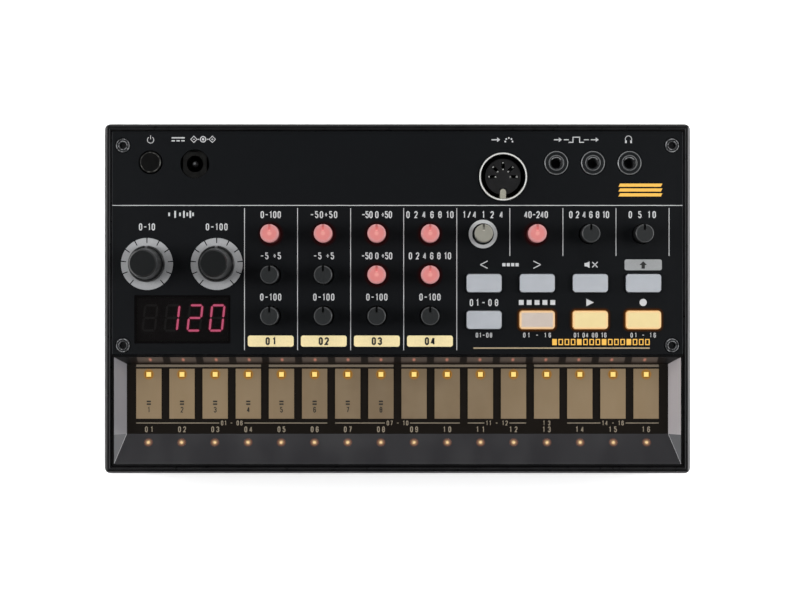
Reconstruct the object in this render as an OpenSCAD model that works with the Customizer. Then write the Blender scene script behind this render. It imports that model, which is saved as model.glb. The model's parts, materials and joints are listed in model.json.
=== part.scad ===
// Small sixteen-step drum machine with dials, rubber buttons, a touch keyboard and top-facing sockets.
// Millimetres. The underside of the feet is at z = 0, +X is to the right, +Y to the socket side, +Z up.

/* [Case] */
// Overall width along X
body_w = 193.4; // [190:0.2:215]
// Overall depth along Y
body_d = 115.4; // [114:0.2:130]
// Height of the closed case without its feet
case_h = 32; // [31:0.5:36]
// Height of the lower shell up to the parting line
lower_h = 16; // [15:0.5:17]
// Thickness of the side walls
wall_t = 2.1; // [1.8:0.1:2.4]
// Thickness of the lower shell's floor
floor_t = 2.4; // [2.4:0.1:3]
// Corner radius in plan
corner_r = 2.2; // [1.6:0.1:4]
// Rounding of the case's upper edge
edge_r = 1; // [0.6:0.1:1.4]
// Height of the rim above the control panel
rim_lip = 0.8; // [0.4:0.1:1.5]
// Width of the shoulder that the control panel rests on
ledge_w = 3; // [2.6:0.1:3.4]
// Height of the rubber feet below the case
foot_h = 2; // [1.5:0.1:3]
// Diameter of a rubber foot
foot_d = 10; // [8:0.5:12]

/* [Control panel] */
// Thickness of the control panel
panel_t = 2; // [1.6:0.1:2.2]
// Depth of the control panel along Y
panel_d = 73.8; // [73:0.1:75]
// Gap between neighbouring fixed pieces
seam = 0.2; // [0.1:0.05:0.3]
// Clearance of buttons and knobs in the panel's holes
panel_gap = 0.45; // [0.3:0.05:0.6]
// Distance of the panel screws from the panel's side edges
screw_inset = 3.6; // [3.4:0.1:4]
// Distance of the rear panel screws from the panel's rear edge
screw_rear = 4.7; // [4.2:0.1:6]
// Distance of the front panel screws from the panel's front edge
screw_front = 3; // [2.9:0.1:3.4]

/* [Small knobs] */
// Diameter of a small knob
knob_d = 6; // [5.4:0.1:6.4]
// Height of a small knob above the panel
knob_h = 7.3; // [7:0.1:10]
// Distance of the first column of knobs from the panel's left edge
voice_inset = 52.5; // [51:0.1:54]
// Distance of the last column of knobs from the panel's right edge
last_inset = 13.52; // [12:0.01:15]
// Distance of the top row of knobs from the panel's rear edge
top_row_inset = 34; // [33:0.05:34.2]
// Distance of the low row of knobs from the panel's front edge
low_row_inset = 12.75; // [11:0.05:14]

/* [Large dials] */
// Diameter of a large dial at its foot
dial_d = 12; // [11:0.1:12.4]
// Diameter of a large dial's top face
dial_top_d = 8.2; // [7:0.1:9]
// Height of a large dial above the panel
dial_h = 11.8; // [10:0.1:14]
// Distance of the left dial from the panel's left edge
dial_inset = 11.6; // [11:0.1:12.4]
// Distance between the two dials
dial_pitch = 23.05; // [22:0.05:23.4]
// Distance of both dials from the panel's front edge
dial_front = 29.9; // [29.4:0.1:30.5]

/* [Buttons] */
// Width of a rubber button
button_w = 11.5; // [11:0.1:12.4]
// Depth of a rubber button
button_d = 5.9; // [5.6:0.1:6.6]
// Height of a rubber button above the panel
button_h = 1.4; // [1:0.1:2]
// Travel of a rubber button
button_travel = 0.8; // [0.5:0.1:0.9]
// Distance of the last column of buttons from the panel's right edge
button_inset = 13.2; // [12:0.1:15]
// Distance of the upper row of buttons from the panel's front edge
button_front = 23.56; // [23:0.01:24]
// Distance between the two rows of buttons
button_row_pitch = 12.13; // [11.8:0.01:12.4]
// Diameter of the power button
power_d = 7; // [6.6:0.1:7.6]
// Height of the power button above the panel
power_h = 0.7; // [0.4:0.1:1.5]
// Distance of the power button from the panel's left edge
power_inset = 12.8; // [12:0.1:13]

/* [Display] */
// Width of the display window
window_w = 31.8; // [31:0.1:32]
// Depth of the display window
window_d = 16; // [15.2:0.1:16.2]
// Distance of the window's middle from the panel's left edge
window_inset = 23.3; // [22.5:0.1:23.8]
// Distance of the window's middle from the panel's front edge
window_front = 11.6; // [11:0.1:12.2]
// Height of a digit
digit_h = 9.2; // [8:0.1:9.6]
// Width of a digit
digit_w = 4.9; // [4.4:0.1:5.2]
// Distance between digits
digit_pitch = 7.27; // [7:0.01:7.4]
// Width of a segment's stroke
stroke = 0.8; // [0.7:0.05:1.1]

/* [Sockets] */
// Distance of the socket row from the case's rear face
socket_inset = 12.8; // [12.4:0.1:13.2]
// Diameter of the five-pin socket's shell
din_d = 15.8; // [15.6:0.1:16.4]
// Diameter of the five-pin socket's insert
din_insert_d = 11.8; // [11:0.1:12]
// Radius of the circle of contacts
din_pin_circle_r = 3.5; // [3.2:0.1:3.7]
// Distance between the five-pin socket and the first small jack
din_pitch = 17.6; // [16.5:0.1:19]
// Bore of a small jack
jack_bore_d = 3.6; // [3.5:0.05:3.7]
// Outer diameter of a small jack's collar
jack_collar_d = 7.8; // [7.2:0.1:8]
// Distance of the last small jack from the panel's right edge
jack_inset = 17.7; // [16:0.1:19]
// Distance between the small jacks
jack_pitch = 12.1; // [11:0.1:13]
// Bore of the power inlet
inlet_bore_d = 5.5; // [5.4:0.1:5.7]
// Diameter of the power inlet's centre pin
inlet_pin_d = 2; // [1.9:0.05:2.1]
// Diameter of the panel's opening over the power inlet
inlet_hole_d = 9.6; // [9:0.1:10]
// Distance of the power inlet from the panel's left edge
inlet_inset = 27.4; // [26.5:0.1:28.5]

/* [Key tray] */
// Depth of the key tray below the panel
tray_depth = 4.7; // [4:0.1:5.5]
// Width of the tray's side slopes in plan
slope_side = 3.6; // [3:0.1:4.2]
// Width of the tray's rear slope in plan
slope_rear = 2.4; // [2:0.05:3]
// Width of the tray's front slope in plan
slope_front = 10.45; // [9.5:0.05:11]
// Number of touch keys
key_count = 16; // [12:1:16]
// Width of a touch key
key_w = 8.4; // [8:0.05:9]
// Distance of the outer keys from the tray's side slopes
key_side_gap = 3.15; // [2:0.01:4]
// Distance of the keys from the tray's rear slope
key_rear_gap = 1.6; // [1.5:0.01:2.5]
// Distance of the keys from the tray's front slope
key_front_gap = 5.04; // [3:0.01:6]
// Thickness of the printed contact layer
contact_t = 0.2; // [0.1:0.05:0.3]
// Side of a step light
light_w = 1.7; // [1.4:0.1:1.8]

/* [Batteries] */
// Diameter of a cell
cell_d = 14.2; // [13.8:0.1:14.4]
// Length of a cell with its nub
cell_l = 50.5; // [50:0.1:51]
// Thickness of the battery cover
cover_t = 1.4; // [1.2:0.1:1.5]
// Distance of the battery bay from the left wall
bay_inset = 26.9; // [24:0.1:32]

/* [Speaker] */
// Outer diameter of the speaker
speaker_d = 36; // [32:0.5:38]
// Length of the speaker's leads, from the battery bay's wall
lead_l = 4; // [2:0.5:6]

/* [Boards] */
// Thickness of the circuit boards
board_t = 1.6; // [1.4:0.1:1.7]
// Space between the panel's underside and the main board
board_drop = 8.1; // [7.9:0.05:8.3]
// Space between the panel's underside and the socket board
socket_drop = 10; // [9.8:0.05:10.1]
// Running clearance of a shaft in its bearing, on the radius
shaft_gap = 0.06; // [0.03:0.01:0.09]

/* [Hidden] */
$fn = 48;
EPS = 0.01;  // overshoot of a cut past the face it opens

// Heights, from the table upwards
base_z = foot_h;
floor_z = base_z + floor_t;
split_z = base_z + lower_h;
rim_z = base_z + case_h;
panel_z = rim_z - rim_lip;
under_z = panel_z - panel_t;
tray_z = panel_z - tray_depth;
main_z = under_z - board_drop;
socket_z = under_z - socket_drop;

// Plan of the case, the panel and the key tray
half_w = body_w / 2;
half_d = body_d / 2;
inner_w = body_w - 2 * wall_t;
inner_d = body_d - 2 * wall_t;
panel_w = inner_w - 2 * seam;
panel_rear = half_d - wall_t - seam;
panel_front = panel_rear - panel_d;
tray_rear = panel_front - seam;
tray_front = -half_d + wall_t + seam;
tray_ledge_t = 1.5;                     // thickness of the shoulder under the touch board
tray_edge = 0.7;                        // flat edge of the bezel round its slopes
floor_half_w = panel_w / 2 - tray_edge - slope_side;
floor_rear = tray_rear - slope_rear - tray_edge;
floor_front = tray_front + slope_front;
groove_w = 0.5;                         // decorative step inside the rim
groove_t = 0.5;

lip_t = 1;                              // locating lip between the two shells
lip_h = 1.5;
lip_gap = 0.1;

// Fixings
post_r = 2.6;
thread_r = 1.05;
head_r = 2.25;
head_t = 1.1;
head_recess = 1.2;
socket_r = 1.2;                         // hexagon socket in a screw head, across corners
post_x = panel_w / 2 - screw_inset;
panel_screws = [for (x = [-post_x, post_x], y = [panel_rear - screw_rear, panel_front + screw_front]) [x, y]];
rear_post_inset = 24.5;                 // distance of the case screws from the case's rear face
front_post_inset = 9.5;                 // and from its front face
case_screw_ys = [half_d - rear_post_inset, -half_d + front_post_inset];
case_screws = [for (x = [-post_x, post_x], y = case_screw_ys) [x, y]];
case_recess_h = 9;                      // depth of the screw recesses in the underside
panel_post_h = 7;

// Knobs and their potentiometers
knob_row_y = panel_rear - top_row_inset;
knob_row_pitch = (knob_row_y - panel_front - low_row_inset) / 2;
knob_rows = [for (i = [0:2]) knob_row_y - i * knob_row_pitch];
voice_x = -panel_w / 2 + voice_inset;
column_pitch = (panel_w / 2 - last_inset - voice_x) / 7;
voice_xs = [for (i = [0:3]) voice_x + i * column_pitch];
right_xs = [for (i = [4:7]) voice_x + i * column_pitch];
button_xs = [for (i = [0:3]) panel_w / 2 - button_inset - (3 - i) * column_pitch];
pot_places = concat(
    [for (x = voice_xs, y = knob_rows) [x, y]],
    [for (x = right_xs) [x, knob_row_y]]
);
pot_w = 9.6;
pot_d = 9.4;
pot_h = 6.1;
pot_collar_r = 4.1;
pot_collar_h = 1.4;
rotor_r = 3.9;
rotor_t = 1.2;
rotor_gap = 0.3;
rotor_z = main_z + 2.2;
slot_w = 0.75;
slot_depth = 1.2;
slot_share = 0.62;                      // share of the radius from the edge that the pointer slot takes

// Large dials
dial_x = -panel_w / 2 + dial_inset;
dial_xs = [dial_x, dial_x + dial_pitch];
dial_y = panel_front + dial_front;
dial_base_gap = 0.3;
dial_skirt_h = 2.4;
dial_shaft_r = 3;
dial_shaft_top = panel_z + dial_h - 2.6;
dial_flat = 1;                          // depth of the flat that keys the dial to its shaft
dial_pot_w = 11.6;
dial_pot_h = 6.8;
bushing_r = 3.5;
bushing_top = panel_z - 0.4;

// Buttons
button_row_y = panel_front + button_front;
button_rows = [button_row_y, button_row_y - button_row_pitch];
button_r = 1;
button_flange = 0.8;
flange_t = 1.5;
flange_gap = 0.3;
mat_t = 1;
mat_rim = 0.9;
button_foot_z = main_z + mat_t + 0.3 + button_travel;
power_r = power_d / 2;
power_hole_r = power_r + panel_gap;
switch_w = 6;
switch_h = 3.3;
power_travel = 1;
power_x = -panel_w / 2 + power_inset;
power_y = half_d - socket_inset + 0.2;

// Display
window_x = -panel_w / 2 + window_inset;
window_y = panel_front + window_front;
window_t = 0.8;
window_bevel = 0.7;                     // seat of the window in the panel, on each side
module_w = window_w - 2 * (window_bevel + seam);
module_d = window_d - 2 * (window_bevel + seam);
segment_t = 0.15;
digit_lean = 7;                         // slant of the digits, degrees
digit_count = 4;
digits_right = 0.25;                    // place of the digits from the window's middle
digits_up = 0.45;

// Sockets
socket_y = half_d - socket_inset;
inlet_x = -panel_w / 2 + inlet_inset;
inlet_y = socket_y - 0.3;
jack_xs = [for (i = [2:-1:0]) panel_w / 2 - jack_inset - i * jack_pitch];
din_x = jack_xs[0] - din_pitch;
din_drop = 4.55;                        // distance of the five-pin socket in front of the socket row
din_y = socket_y - din_drop;
din_wall = 0.6;
din_rise = 0.7;
din_gap = 0.25;
din_floor = 3;
din_slot_l = 2.6;                       // opening of a contact in the insert, along the radius
din_slot_w = 1.1;
din_slot_r = 0.15;
din_leaf_t = 0.35;                      // spring leaves at both ends of an opening
din_leaf_w = 0.5;
din_leaf_gap = 0.05;
key_tab_w = 2;
key_tab_l = 3.3;
jack_body_w = 9;
jack_body_d = 10.5;
jack_gap = 0.3;
jack_rise = 0.3;
inlet_body_w = 9;
inlet_depth = 8.5;
inlet_face_drop = 0.3;
inlet_flat = 3.9;                       // distance of the nose's cut-away sides from its axis

// Boards
board_edge = post_x - post_r - 0.4;
main_rear = din_y - din_d / 2 - 0.5;
socket_front = main_rear;
cable_w = 20;
cable_t = 0.5;
cable_rise = 2;
wire_r = 0.6;

// Touch keyboard
key_rear_y = floor_rear - key_rear_gap;
key_d = key_rear_y - floor_front - key_front_gap;
key_y = key_rear_y - key_d / 2;
key_span = 2 * (floor_half_w - key_side_gap) - key_w;
key_pitch = key_span / (key_count - 1);
key_xs = [for (i = [0:key_count - 1]) i * key_pitch - key_span / 2];
light_y = key_rear_y - 1.85;
light_gap = 0.15;
light_t = 0.4;
bar_d = 0.8;
bar_gap = 0.6;
bar_keys = 4;                           // keys under one contact bar

// Battery bay and its cover
contact_plate_t = 0.5;
spring_wire_r = 0.4;
spring_turns = 4;
spring_pitch = 0.7;
spring_l = spring_turns * spring_pitch + 0.1;
cell_rows = 3;
cell_pitch = cell_d + 0.6;
cell_nub_r = 2.75;
cell_nub_h = 1;
cover_gap = 0.2;
cover_z = base_z;
bay_floor_z = cover_z + cover_t + cover_gap;
cell_z = bay_floor_z + cell_d / 2;
bay_l = 2 * cell_l + spring_l + 2 * contact_plate_t + 0.1;
bay_d = cell_rows * cell_pitch + 0.6;
bay_wall = 1.4;
bay_roof_t = 1;
bay_roof_z = cell_z + cell_d / 2 + 0.4;
bay_rear = half_d - wall_t - 1.6;
bay_front = bay_rear - bay_d;
bay_left = -inner_w / 2 + bay_inset;
bay_right = bay_left + bay_l;
cover_margin = 2;
cover_tongue = 1.1;
cover_tongue_t = 0.5;
cover_end_h = 6;
rib_w = 1.4;

// Speaker
speaker_r = speaker_d / 2;
speaker_x = bay_right - speaker_r;
speaker_y = bay_front - bay_wall - lead_l - speaker_r;
speaker_flange_t = 1.2;
speaker_flange_w = 2.4;
speaker_h = 11;
magnet_r = 9;
magnet_h = 5;
cone_t = 0.6;
cone_lift = 0.5;                        // rest height of the cone above the grille
cone_cap_r = 6;
cone_rim_gap = 0.9;
grille_slot = 1.6;
grille_pitch = 3.4;
grille_r = speaker_r - 4;

// Feet
foot_seat = 0.6;
foot_inset = 16.5;                      // distance of the feet and the board's posts from the sides
foot_end_inset = 10.5;                  // distance of the feet from the case's front and rear faces
foot_x = half_w - foot_inset;
foot_y = half_d - foot_end_inset;

// ---------- shared shapes ----------

module rounded_rect(w, d, r) {
    square([w - 2 * r, d], center = true);
    square([w, d - 2 * r], center = true);
    for (x = [-1, 1], y = [-1, 1]) translate([x * (w / 2 - r), y * (d / 2 - r)]) circle(r);
}

module slab(w, d, r, z0, z1) {
    translate([0, 0, z0]) linear_extrude(z1 - z0) rounded_rect(w, d, r);
}

// A box given by its lowest and highest corners
module block(low, high) {
    translate(low) cube([high[0] - low[0], high[1] - low[1], high[2] - low[2]]);
}

module rod(x, y, r, z0, z1) {
    translate([x, y, z0]) cylinder(r = r, h = z1 - z0);
}

// A bar along X with the given profile in the YZ plane
module along_x(length) {
    translate([-length / 2, 0, 0]) rotate([90, 0, 90]) linear_extrude(length) children();
}

// A bar along Y with the given profile in the XZ plane, from y0 to y1
module along_y(y0, y1) {
    translate([0, y1, 0]) rotate([90, 0, 0]) linear_extrude(y1 - y0) children();
}

// An upright rectangle whose two upper corners are round
module round_topped(w, z0, z1, r) {
    translate([-w / 2, z0]) square([w, z1 - z0 - r]);
    translate([r - w / 2, z0]) square([w - 2 * r, z1 - z0]);
    for (x = [-1, 1]) translate([x * (w / 2 - r), z1 - r]) circle(r);
}

// ---------- casing ----------

module top_case() {
    color("#2b2b2d") difference() {
        union() {
            // side walls with the rim
            difference() {
                intersection() {
                    slab(body_w, body_d, corner_r, split_z, rim_z);
                    along_x(body_w + 1) round_topped(body_d, split_z - 1, rim_z, edge_r);
                    along_y(-half_d - 1, half_d + 1) round_topped(body_w, split_z - 1, rim_z, edge_r);
                }
                slab(inner_w, inner_d, 0.5, split_z - EPS, rim_z + EPS);
            }
            // shoulder under the panel
            difference() {
                block(
                    [-inner_w / 2 - EPS, tray_rear, under_z - wall_t],
                    [inner_w / 2 + EPS, inner_d / 2 + EPS, under_z]
                );
                block(
                    [-inner_w / 2 + ledge_w, tray_rear - EPS, under_z - wall_t - EPS],
                    [inner_w / 2 - ledge_w, inner_d / 2 - ledge_w, under_z + EPS]
                );
            }
            // crossbar between the panel and the key tray
            block(
                [-inner_w / 2 - EPS, tray_rear + seam, tray_z - board_t - tray_ledge_t],
                [inner_w / 2 + EPS, tray_rear + ledge_w, under_z]
            );
            // shoulder under the touch board
            difference() {
                block(
                    [-inner_w / 2 - EPS, -inner_d / 2 - EPS, tray_z - board_t - tray_ledge_t],
                    [inner_w / 2 + EPS, tray_rear + ledge_w, tray_z - board_t]
                );
                block(
                    [-inner_w / 2 + ledge_w, -inner_d / 2 + ledge_w, tray_z - board_t - tray_ledge_t - EPS],
                    [inner_w / 2 - ledge_w, tray_rear - ledge_w, tray_z]
                );
            }
            // posts and their webs to the side walls
            for (p = panel_screws) {
                rod(p[0], p[1], post_r, under_z - panel_post_h, under_z);
                web(p[1], under_z - wall_t, under_z, sign(p[0]));
            }
            for (p = case_screws) {
                top = p[1] > 0 ? under_z : tray_z - board_t;
                rod(p[0], p[1], post_r, split_z, top);
                web(p[1], top - tray_ledge_t, top, sign(p[0]));
            }
        }
        for (p = panel_screws) rod(p[0], p[1], thread_r, under_z - panel_post_h + 1, under_z + EPS);
        for (p = case_screws) rod(p[0], p[1], thread_r, split_z - EPS, split_z + 4.5);
        // step round the inside of the rim
        difference() {
            slab(inner_w + 2 * groove_w, inner_d + 2 * groove_w, 0.8, rim_z - groove_t, rim_z + EPS);
            slab(inner_w - EPS, inner_d - EPS, 0.5, rim_z - groove_t - EPS, rim_z + 2 * EPS);
        }
        // shadow line above the parting line
        shadow_line(split_z - EPS, split_z + 0.4);
    }
}

// Web between a post and the side wall
module web(y, z0, z1, side) {
    mirror([side > 0 ? 0 : 1, 0, 0])
        block([post_x - post_r, y - post_r, z0], [inner_w / 2 + EPS, y + post_r, z1]);
}

// Shallow groove round the outside of the case
module shadow_line(z0, z1) {
    difference() {
        slab(body_w + 1, body_d + 1, corner_r, z0, z1);
        slab(body_w - 1, body_d - 1, corner_r, z0 - EPS, z1 + EPS);
    }
}

module bottom_case() {
    lip_w = inner_w - 2 * (lip_gap + lip_t);
    lip_d = inner_d - 2 * (lip_gap + lip_t);
    color("#262628") difference() {
        union() {
            difference() {
                slab(body_w, body_d, corner_r, base_z, split_z);
                slab(inner_w, inner_d, 0.5, floor_z, split_z + EPS);
                // chamfer round the underside
                difference() {
                    slab(body_w + 1, body_d + 1, corner_r, base_z - EPS, base_z + 0.8);
                    slab(body_w - 1.6, body_d - 1.6, corner_r, base_z - 2 * EPS, base_z + 0.8 + EPS);
                }
            }
            // locating lip inside the upper shell
            difference() {
                union() {
                    slab(inner_w + EPS, inner_d + EPS, 0.5, split_z - lip_h, split_z);
                    slab(inner_w - 2 * lip_gap, inner_d - 2 * lip_gap, 0.5, split_z - lip_h, split_z + lip_h);
                }
                slab(lip_w, lip_d, 0.5, split_z - lip_h - EPS, split_z + lip_h + EPS);
                for (p = case_screws) block(
                    [p[0] - post_r - 2, p[1] - post_r - 0.4, split_z],
                    [p[0] + post_r + 2, p[1] + post_r + 0.4, split_z + lip_h + EPS]
                );
            }
            // battery bay
            block(
                [bay_left - bay_wall, bay_front - bay_wall, base_z],
                [bay_right + bay_wall, inner_d / 2 + EPS, split_z]
            );
            block(
                [bay_left - bay_wall, bay_front - bay_wall, base_z],
                [bay_right + bay_wall, inner_d / 2 - lip_gap, bay_roof_z + bay_roof_t]
            );
            // ribs on the bay's roof, under the two boards
            for (x = [bay_left + 6, bay_right - 6]) {
                block([x, bay_rear - 3, bay_roof_z], [x + rib_w, bay_rear - 1, socket_z - board_t]);
                block([x, bay_front + 3, bay_roof_z], [x + rib_w, bay_front + 5, main_z - board_t]);
            }
            // posts under the main board and the case screws
            for (x = [-1, 1]) rod(x * foot_x, -half_d + foot_inset, post_r, base_z, main_z - board_t);
            for (p = case_screws) rod(p[0], p[1], post_r + 1, base_z, split_z);
        }
        for (p = case_screws) {
            rod(p[0], p[1], head_r + 0.3, base_z - EPS, base_z + case_recess_h);
            rod(p[0], p[1], thread_r + 0.25, base_z, split_z + EPS);
        }
        // room for the cells, open below
        block([bay_left, bay_front, base_z - EPS], [bay_right, bay_rear, bay_roof_z]);
        cover_slot();
        speaker_grille();
        for (x = [-1, 1], y = [-1, 1])
            rod(x * foot_x, y * foot_y, foot_d / 2 + 0.05, base_z - EPS, base_z + foot_seat);
        shadow_line(split_z - 0.4, split_z + EPS);
    }
}

// The way that the battery cover takes through the lower shell
module cover_slot() {
    left = bay_left - cover_margin - cover_gap;
    right = bay_right + cover_margin + cover_gap;
    tongue_mid = cover_z + cover_t / 2;
    reach = cover_tongue + cover_gap;
    half_slot = cover_tongue_t / 2 + 0.15;
    block([left, bay_front - cover_margin - cover_gap, base_z - EPS], [right, half_d + 1, bay_floor_z]);
    block(
        [left - reach, bay_front - cover_margin - cover_gap, tongue_mid - half_slot],
        [right + reach, half_d + 1, tongue_mid + half_slot]
    );
    block(
        [left, half_d - wall_t - cover_gap, base_z - EPS],
        [right, half_d + 1, base_z + cover_end_h + cover_gap]
    );
}

module speaker_grille() {
    rows = floor(grille_r / grille_pitch);
    for (i = [-rows:rows]) {
        offset_y = i * grille_pitch;
        half_l = sqrt(grille_r * grille_r - offset_y * offset_y);
        block(
            [speaker_x - half_l, speaker_y + offset_y - grille_slot / 2, base_z - EPS],
            [speaker_x + half_l, speaker_y + offset_y + grille_slot / 2, floor_z + EPS]
        );
    }
}

module battery_cover() {
    left = bay_left - cover_margin;
    right = bay_right + cover_margin;
    tongue_mid = cover_z + cover_t / 2;
    grip_pitch = 2.4;
    grip_half_w = 9;
    grip_x = (left + right) / 2;
    color("#2a2a2c") difference() {
        union() {
            block([left, bay_front - cover_margin, cover_z], [right, half_d, cover_z + cover_t]);
            block(
                [left - cover_tongue, bay_front - cover_margin, tongue_mid - cover_tongue_t / 2],
                [right + cover_tongue, half_d - wall_t, tongue_mid + cover_tongue_t / 2]
            );
            block([left, half_d - wall_t, cover_z], [right, half_d, cover_z + cover_end_h]);
        }
        // grip grooves for the thumb
        for (i = [-3:3])
            block(
                [grip_x - grip_half_w, half_d - 12 + i * grip_pitch - 0.5, cover_z - EPS],
                [grip_x + grip_half_w, half_d - 12 + i * grip_pitch + 0.5, cover_z + 0.5]
            );
    }
}

module feet() {
    color("#3a3a3c") for (x = [-1, 1], y = [-1, 1]) translate([x * foot_x, y * foot_y, 0]) {
        rotate_extrude() polygon([
            [0, 0], [foot_d / 2 - 0.5, 0], [foot_d / 2, 0.5],
            [foot_d / 2, foot_h + foot_seat], [0, foot_h + foot_seat]
        ]);
    }
}

module screw(head_z, length, shank_r) {
    difference() {
        union() {
            translate([0, 0, head_z - head_t]) cylinder(r = head_r, h = head_t);
            translate([0, 0, head_z - head_t - length]) cylinder(r = shank_r, h = length + EPS);
        }
        translate([0, 0, head_z - 0.8]) cylinder(r = socket_r, h = 1, $fn = 6);
    }
}

module screws() {
    shank_r = thread_r - 0.05;
    color("#5a5c60") {
        for (p = panel_screws) translate([p[0], p[1], 0]) screw(panel_z - 0.1, 6, shank_r);
        // case screws, heads downwards against the bottom of their recesses
        for (p = case_screws) translate([p[0], p[1], 0]) mirror([0, 0, 1])
            screw(-(base_z + case_recess_h - head_t), split_z - base_z - case_recess_h + 3.5, shank_r);
    }
}

// ---------- control panel ----------

module control_panel() {
    color("#1c1c1e") difference() {
        translate([0, (panel_rear + panel_front) / 2, 0]) slab(panel_w, panel_d, 0.4, under_z, panel_z);
        for (p = panel_screws) {
            rod(p[0], p[1], head_r + 0.35, panel_z - head_recess, panel_z + EPS);
            rod(p[0], p[1], thread_r + 0.15, under_z - EPS, panel_z);
        }
        for (p = pot_places) rod(p[0], p[1], knob_d / 2 + panel_gap, under_z - EPS, panel_z + EPS);
        for (x = dial_xs) rod(x, dial_y, bushing_r + 0.2, under_z - EPS, panel_z + EPS);
        for (x = button_xs, y = button_rows) translate([x, y, 0]) slab(
            button_w + panel_gap, button_d + panel_gap, button_r + panel_gap / 2, under_z - EPS, panel_z + EPS
        );
        rod(power_x, power_y, power_hole_r, under_z - EPS, panel_z + EPS);
        rod(inlet_x, inlet_y, inlet_hole_d / 2, under_z - EPS, panel_z + EPS);
        rod(din_x, din_y, din_d / 2 + din_gap, under_z - EPS, panel_z + EPS);
        for (x = jack_xs) rod(x, socket_y, jack_collar_d / 2 + jack_gap, under_z - EPS, panel_z + EPS);
        // stepped seat of the display window
        translate([window_x, window_y, 0]) {
            slab(window_w, window_d, 0.4, panel_z - window_t, panel_z + EPS);
            slab(window_w - 2 * window_bevel, window_d - 2 * window_bevel, 0.4, under_z - EPS, panel_z);
        }
    }
}

module display_window() {
    color("#14090c", 0.5) translate([window_x, window_y, 0])
        slab(window_w - 0.1, window_d - 0.1, 0.4, panel_z - window_t, panel_z);
}

// ---------- display ----------

module display_module() {
    top = panel_z - window_t - 0.4;
    color("#101012") translate([window_x, window_y, 0]) {
        slab(module_w, module_d, 0.3, main_z, top);
    }
}

// One segment bar with pointed ends, centred on the origin along X
module segment(length) {
    half = length / 2;
    polygon([
        [-half, 0], [-half + stroke / 2, stroke / 2], [half - stroke / 2, stroke / 2],
        [half, 0], [half - stroke / 2, -stroke / 2], [-half + stroke / 2, -stroke / 2]
    ]);
}

// All seven segments of one digit, slanted
module digit() {
    bar = digit_w - stroke - 0.1;
    post = (digit_h - stroke) / 2 - 0.1;
    column_x = (digit_w - stroke) / 2;
    row_y = (digit_h - stroke) / 4;
    for (y = [-2, 0, 2]) translate([lean(y * row_y), y * row_y]) segment(bar);
    for (x = [-1, 1], y = [-1, 1])
        translate([x * column_x + lean(y * row_y), y * row_y]) rotate(90 - digit_lean) segment(post);
}

function lean(y) = y * tan(digit_lean);

module display_segments() {
    top = panel_z - window_t - 0.4;
    color("#d7466e") translate([window_x + digits_right, window_y + digits_up, top])
        linear_extrude(segment_t) for (i = [0:digit_count - 1])
            translate([(i - (digit_count - 1) / 2) * digit_pitch, 0]) digit();
}

// ---------- knobs ----------

// A knob moulded in one piece with its shaft and the rotor inside the potentiometer
module knob(p) {
    r = knob_d / 2;
    top = panel_z + knob_h;
    chamfer = 0.35;
    translate([p[0], p[1], 0]) difference() {
        union() {
            translate([0, 0, rotor_z]) cylinder(r = rotor_r, h = rotor_t);
            rotate_extrude() polygon([
                [0, rotor_z], [r, rotor_z], [r, top - chamfer], [r - chamfer, top], [0, top]
            ]);
        }
        // pointer slot at the top
        block([-slot_w / 2, r * (1 - slot_share), top - slot_depth], [slot_w / 2, r + 1, top + 1]);
    }
}

module small_pot_bodies() {
    color("#3c4a45") for (p = pot_places) translate([p[0], p[1], 0]) difference() {
        union() {
            block([-pot_w / 2, -pot_d / 2, main_z], [pot_w / 2, pot_d / 2, main_z + pot_h]);
            rod(0, 0, pot_collar_r, main_z, main_z + pot_h + pot_collar_h);
        }
        rod(0, 0, knob_d / 2 + shaft_gap, main_z + 1, main_z + pot_h + pot_collar_h + EPS);
        rod(0, 0, rotor_r + rotor_gap, rotor_z - rotor_gap, rotor_z + rotor_t + rotor_gap);
        rod(0, 0, 1.6, main_z - EPS, rotor_z);
    }
}

module dial(x) {
    r = dial_d / 2;
    z0 = panel_z + dial_base_gap;
    skirt = z0 + dial_skirt_h;
    top = panel_z + dial_h;
    top_r = dial_top_d / 2;
    color("#232527") translate([x, dial_y, 0]) difference() {
        rotate_extrude($fn = 64) polygon([
            [0, z0], [r, z0], [r, skirt - 0.4], [r - 0.4, skirt], [r - 0.7, skirt],
            [top_r + 0.5, top - 0.7], [top_r, top], [0, top]
        ]);
        translate([0, 0, z0 - EPS]) linear_extrude(dial_shaft_top - z0 + EPS) shaft_profile(0.02);
        rod(0, 0, bushing_r + 0.4, z0 - EPS, z0 + 1);
        // pointer notch in the skirt
        block([-0.5, r - 0.9, z0 - EPS], [0.5, r + 1, skirt + 1]);
    }
}

// Round shaft with a flat
module shaft_profile(gap) {
    difference() {
        circle(dial_shaft_r + gap);
        translate([-dial_shaft_r - 1, -dial_shaft_r - 1]) square([2 * dial_shaft_r + 2, dial_flat + 1 - gap]);
    }
}

module dial_shaft(x) {
    color("#b8babd") translate([x, dial_y, 0]) {
        rod(0, 0, dial_shaft_r, main_z + 1, panel_z);
        translate([0, 0, panel_z]) linear_extrude(dial_shaft_top - panel_z) shaft_profile(0);
    }
}

module dial_pot_bodies() {
    half = dial_pot_w / 2;
    color("#8d9094") for (x = dial_xs) translate([x, dial_y, 0]) difference() {
        union() {
            block([-half, -half, main_z], [half, half, main_z + dial_pot_h]);
            rod(0, 0, bushing_r, main_z, bushing_top);
        }
        rod(0, 0, dial_shaft_r + shaft_gap, main_z + 0.8, bushing_top + EPS);
    }
}

// ---------- buttons ----------

module rubber_button(x, y) {
    top = panel_z + button_h;
    flange_top = under_z - flange_gap;
    translate([x, y, 0]) {
        slab(button_w, button_d, button_r, button_foot_z, top);
        slab(
            button_w + 2 * button_flange, button_d + 2 * button_flange, button_r,
            flange_top - flange_t, flange_top
        );
    }
}

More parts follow.
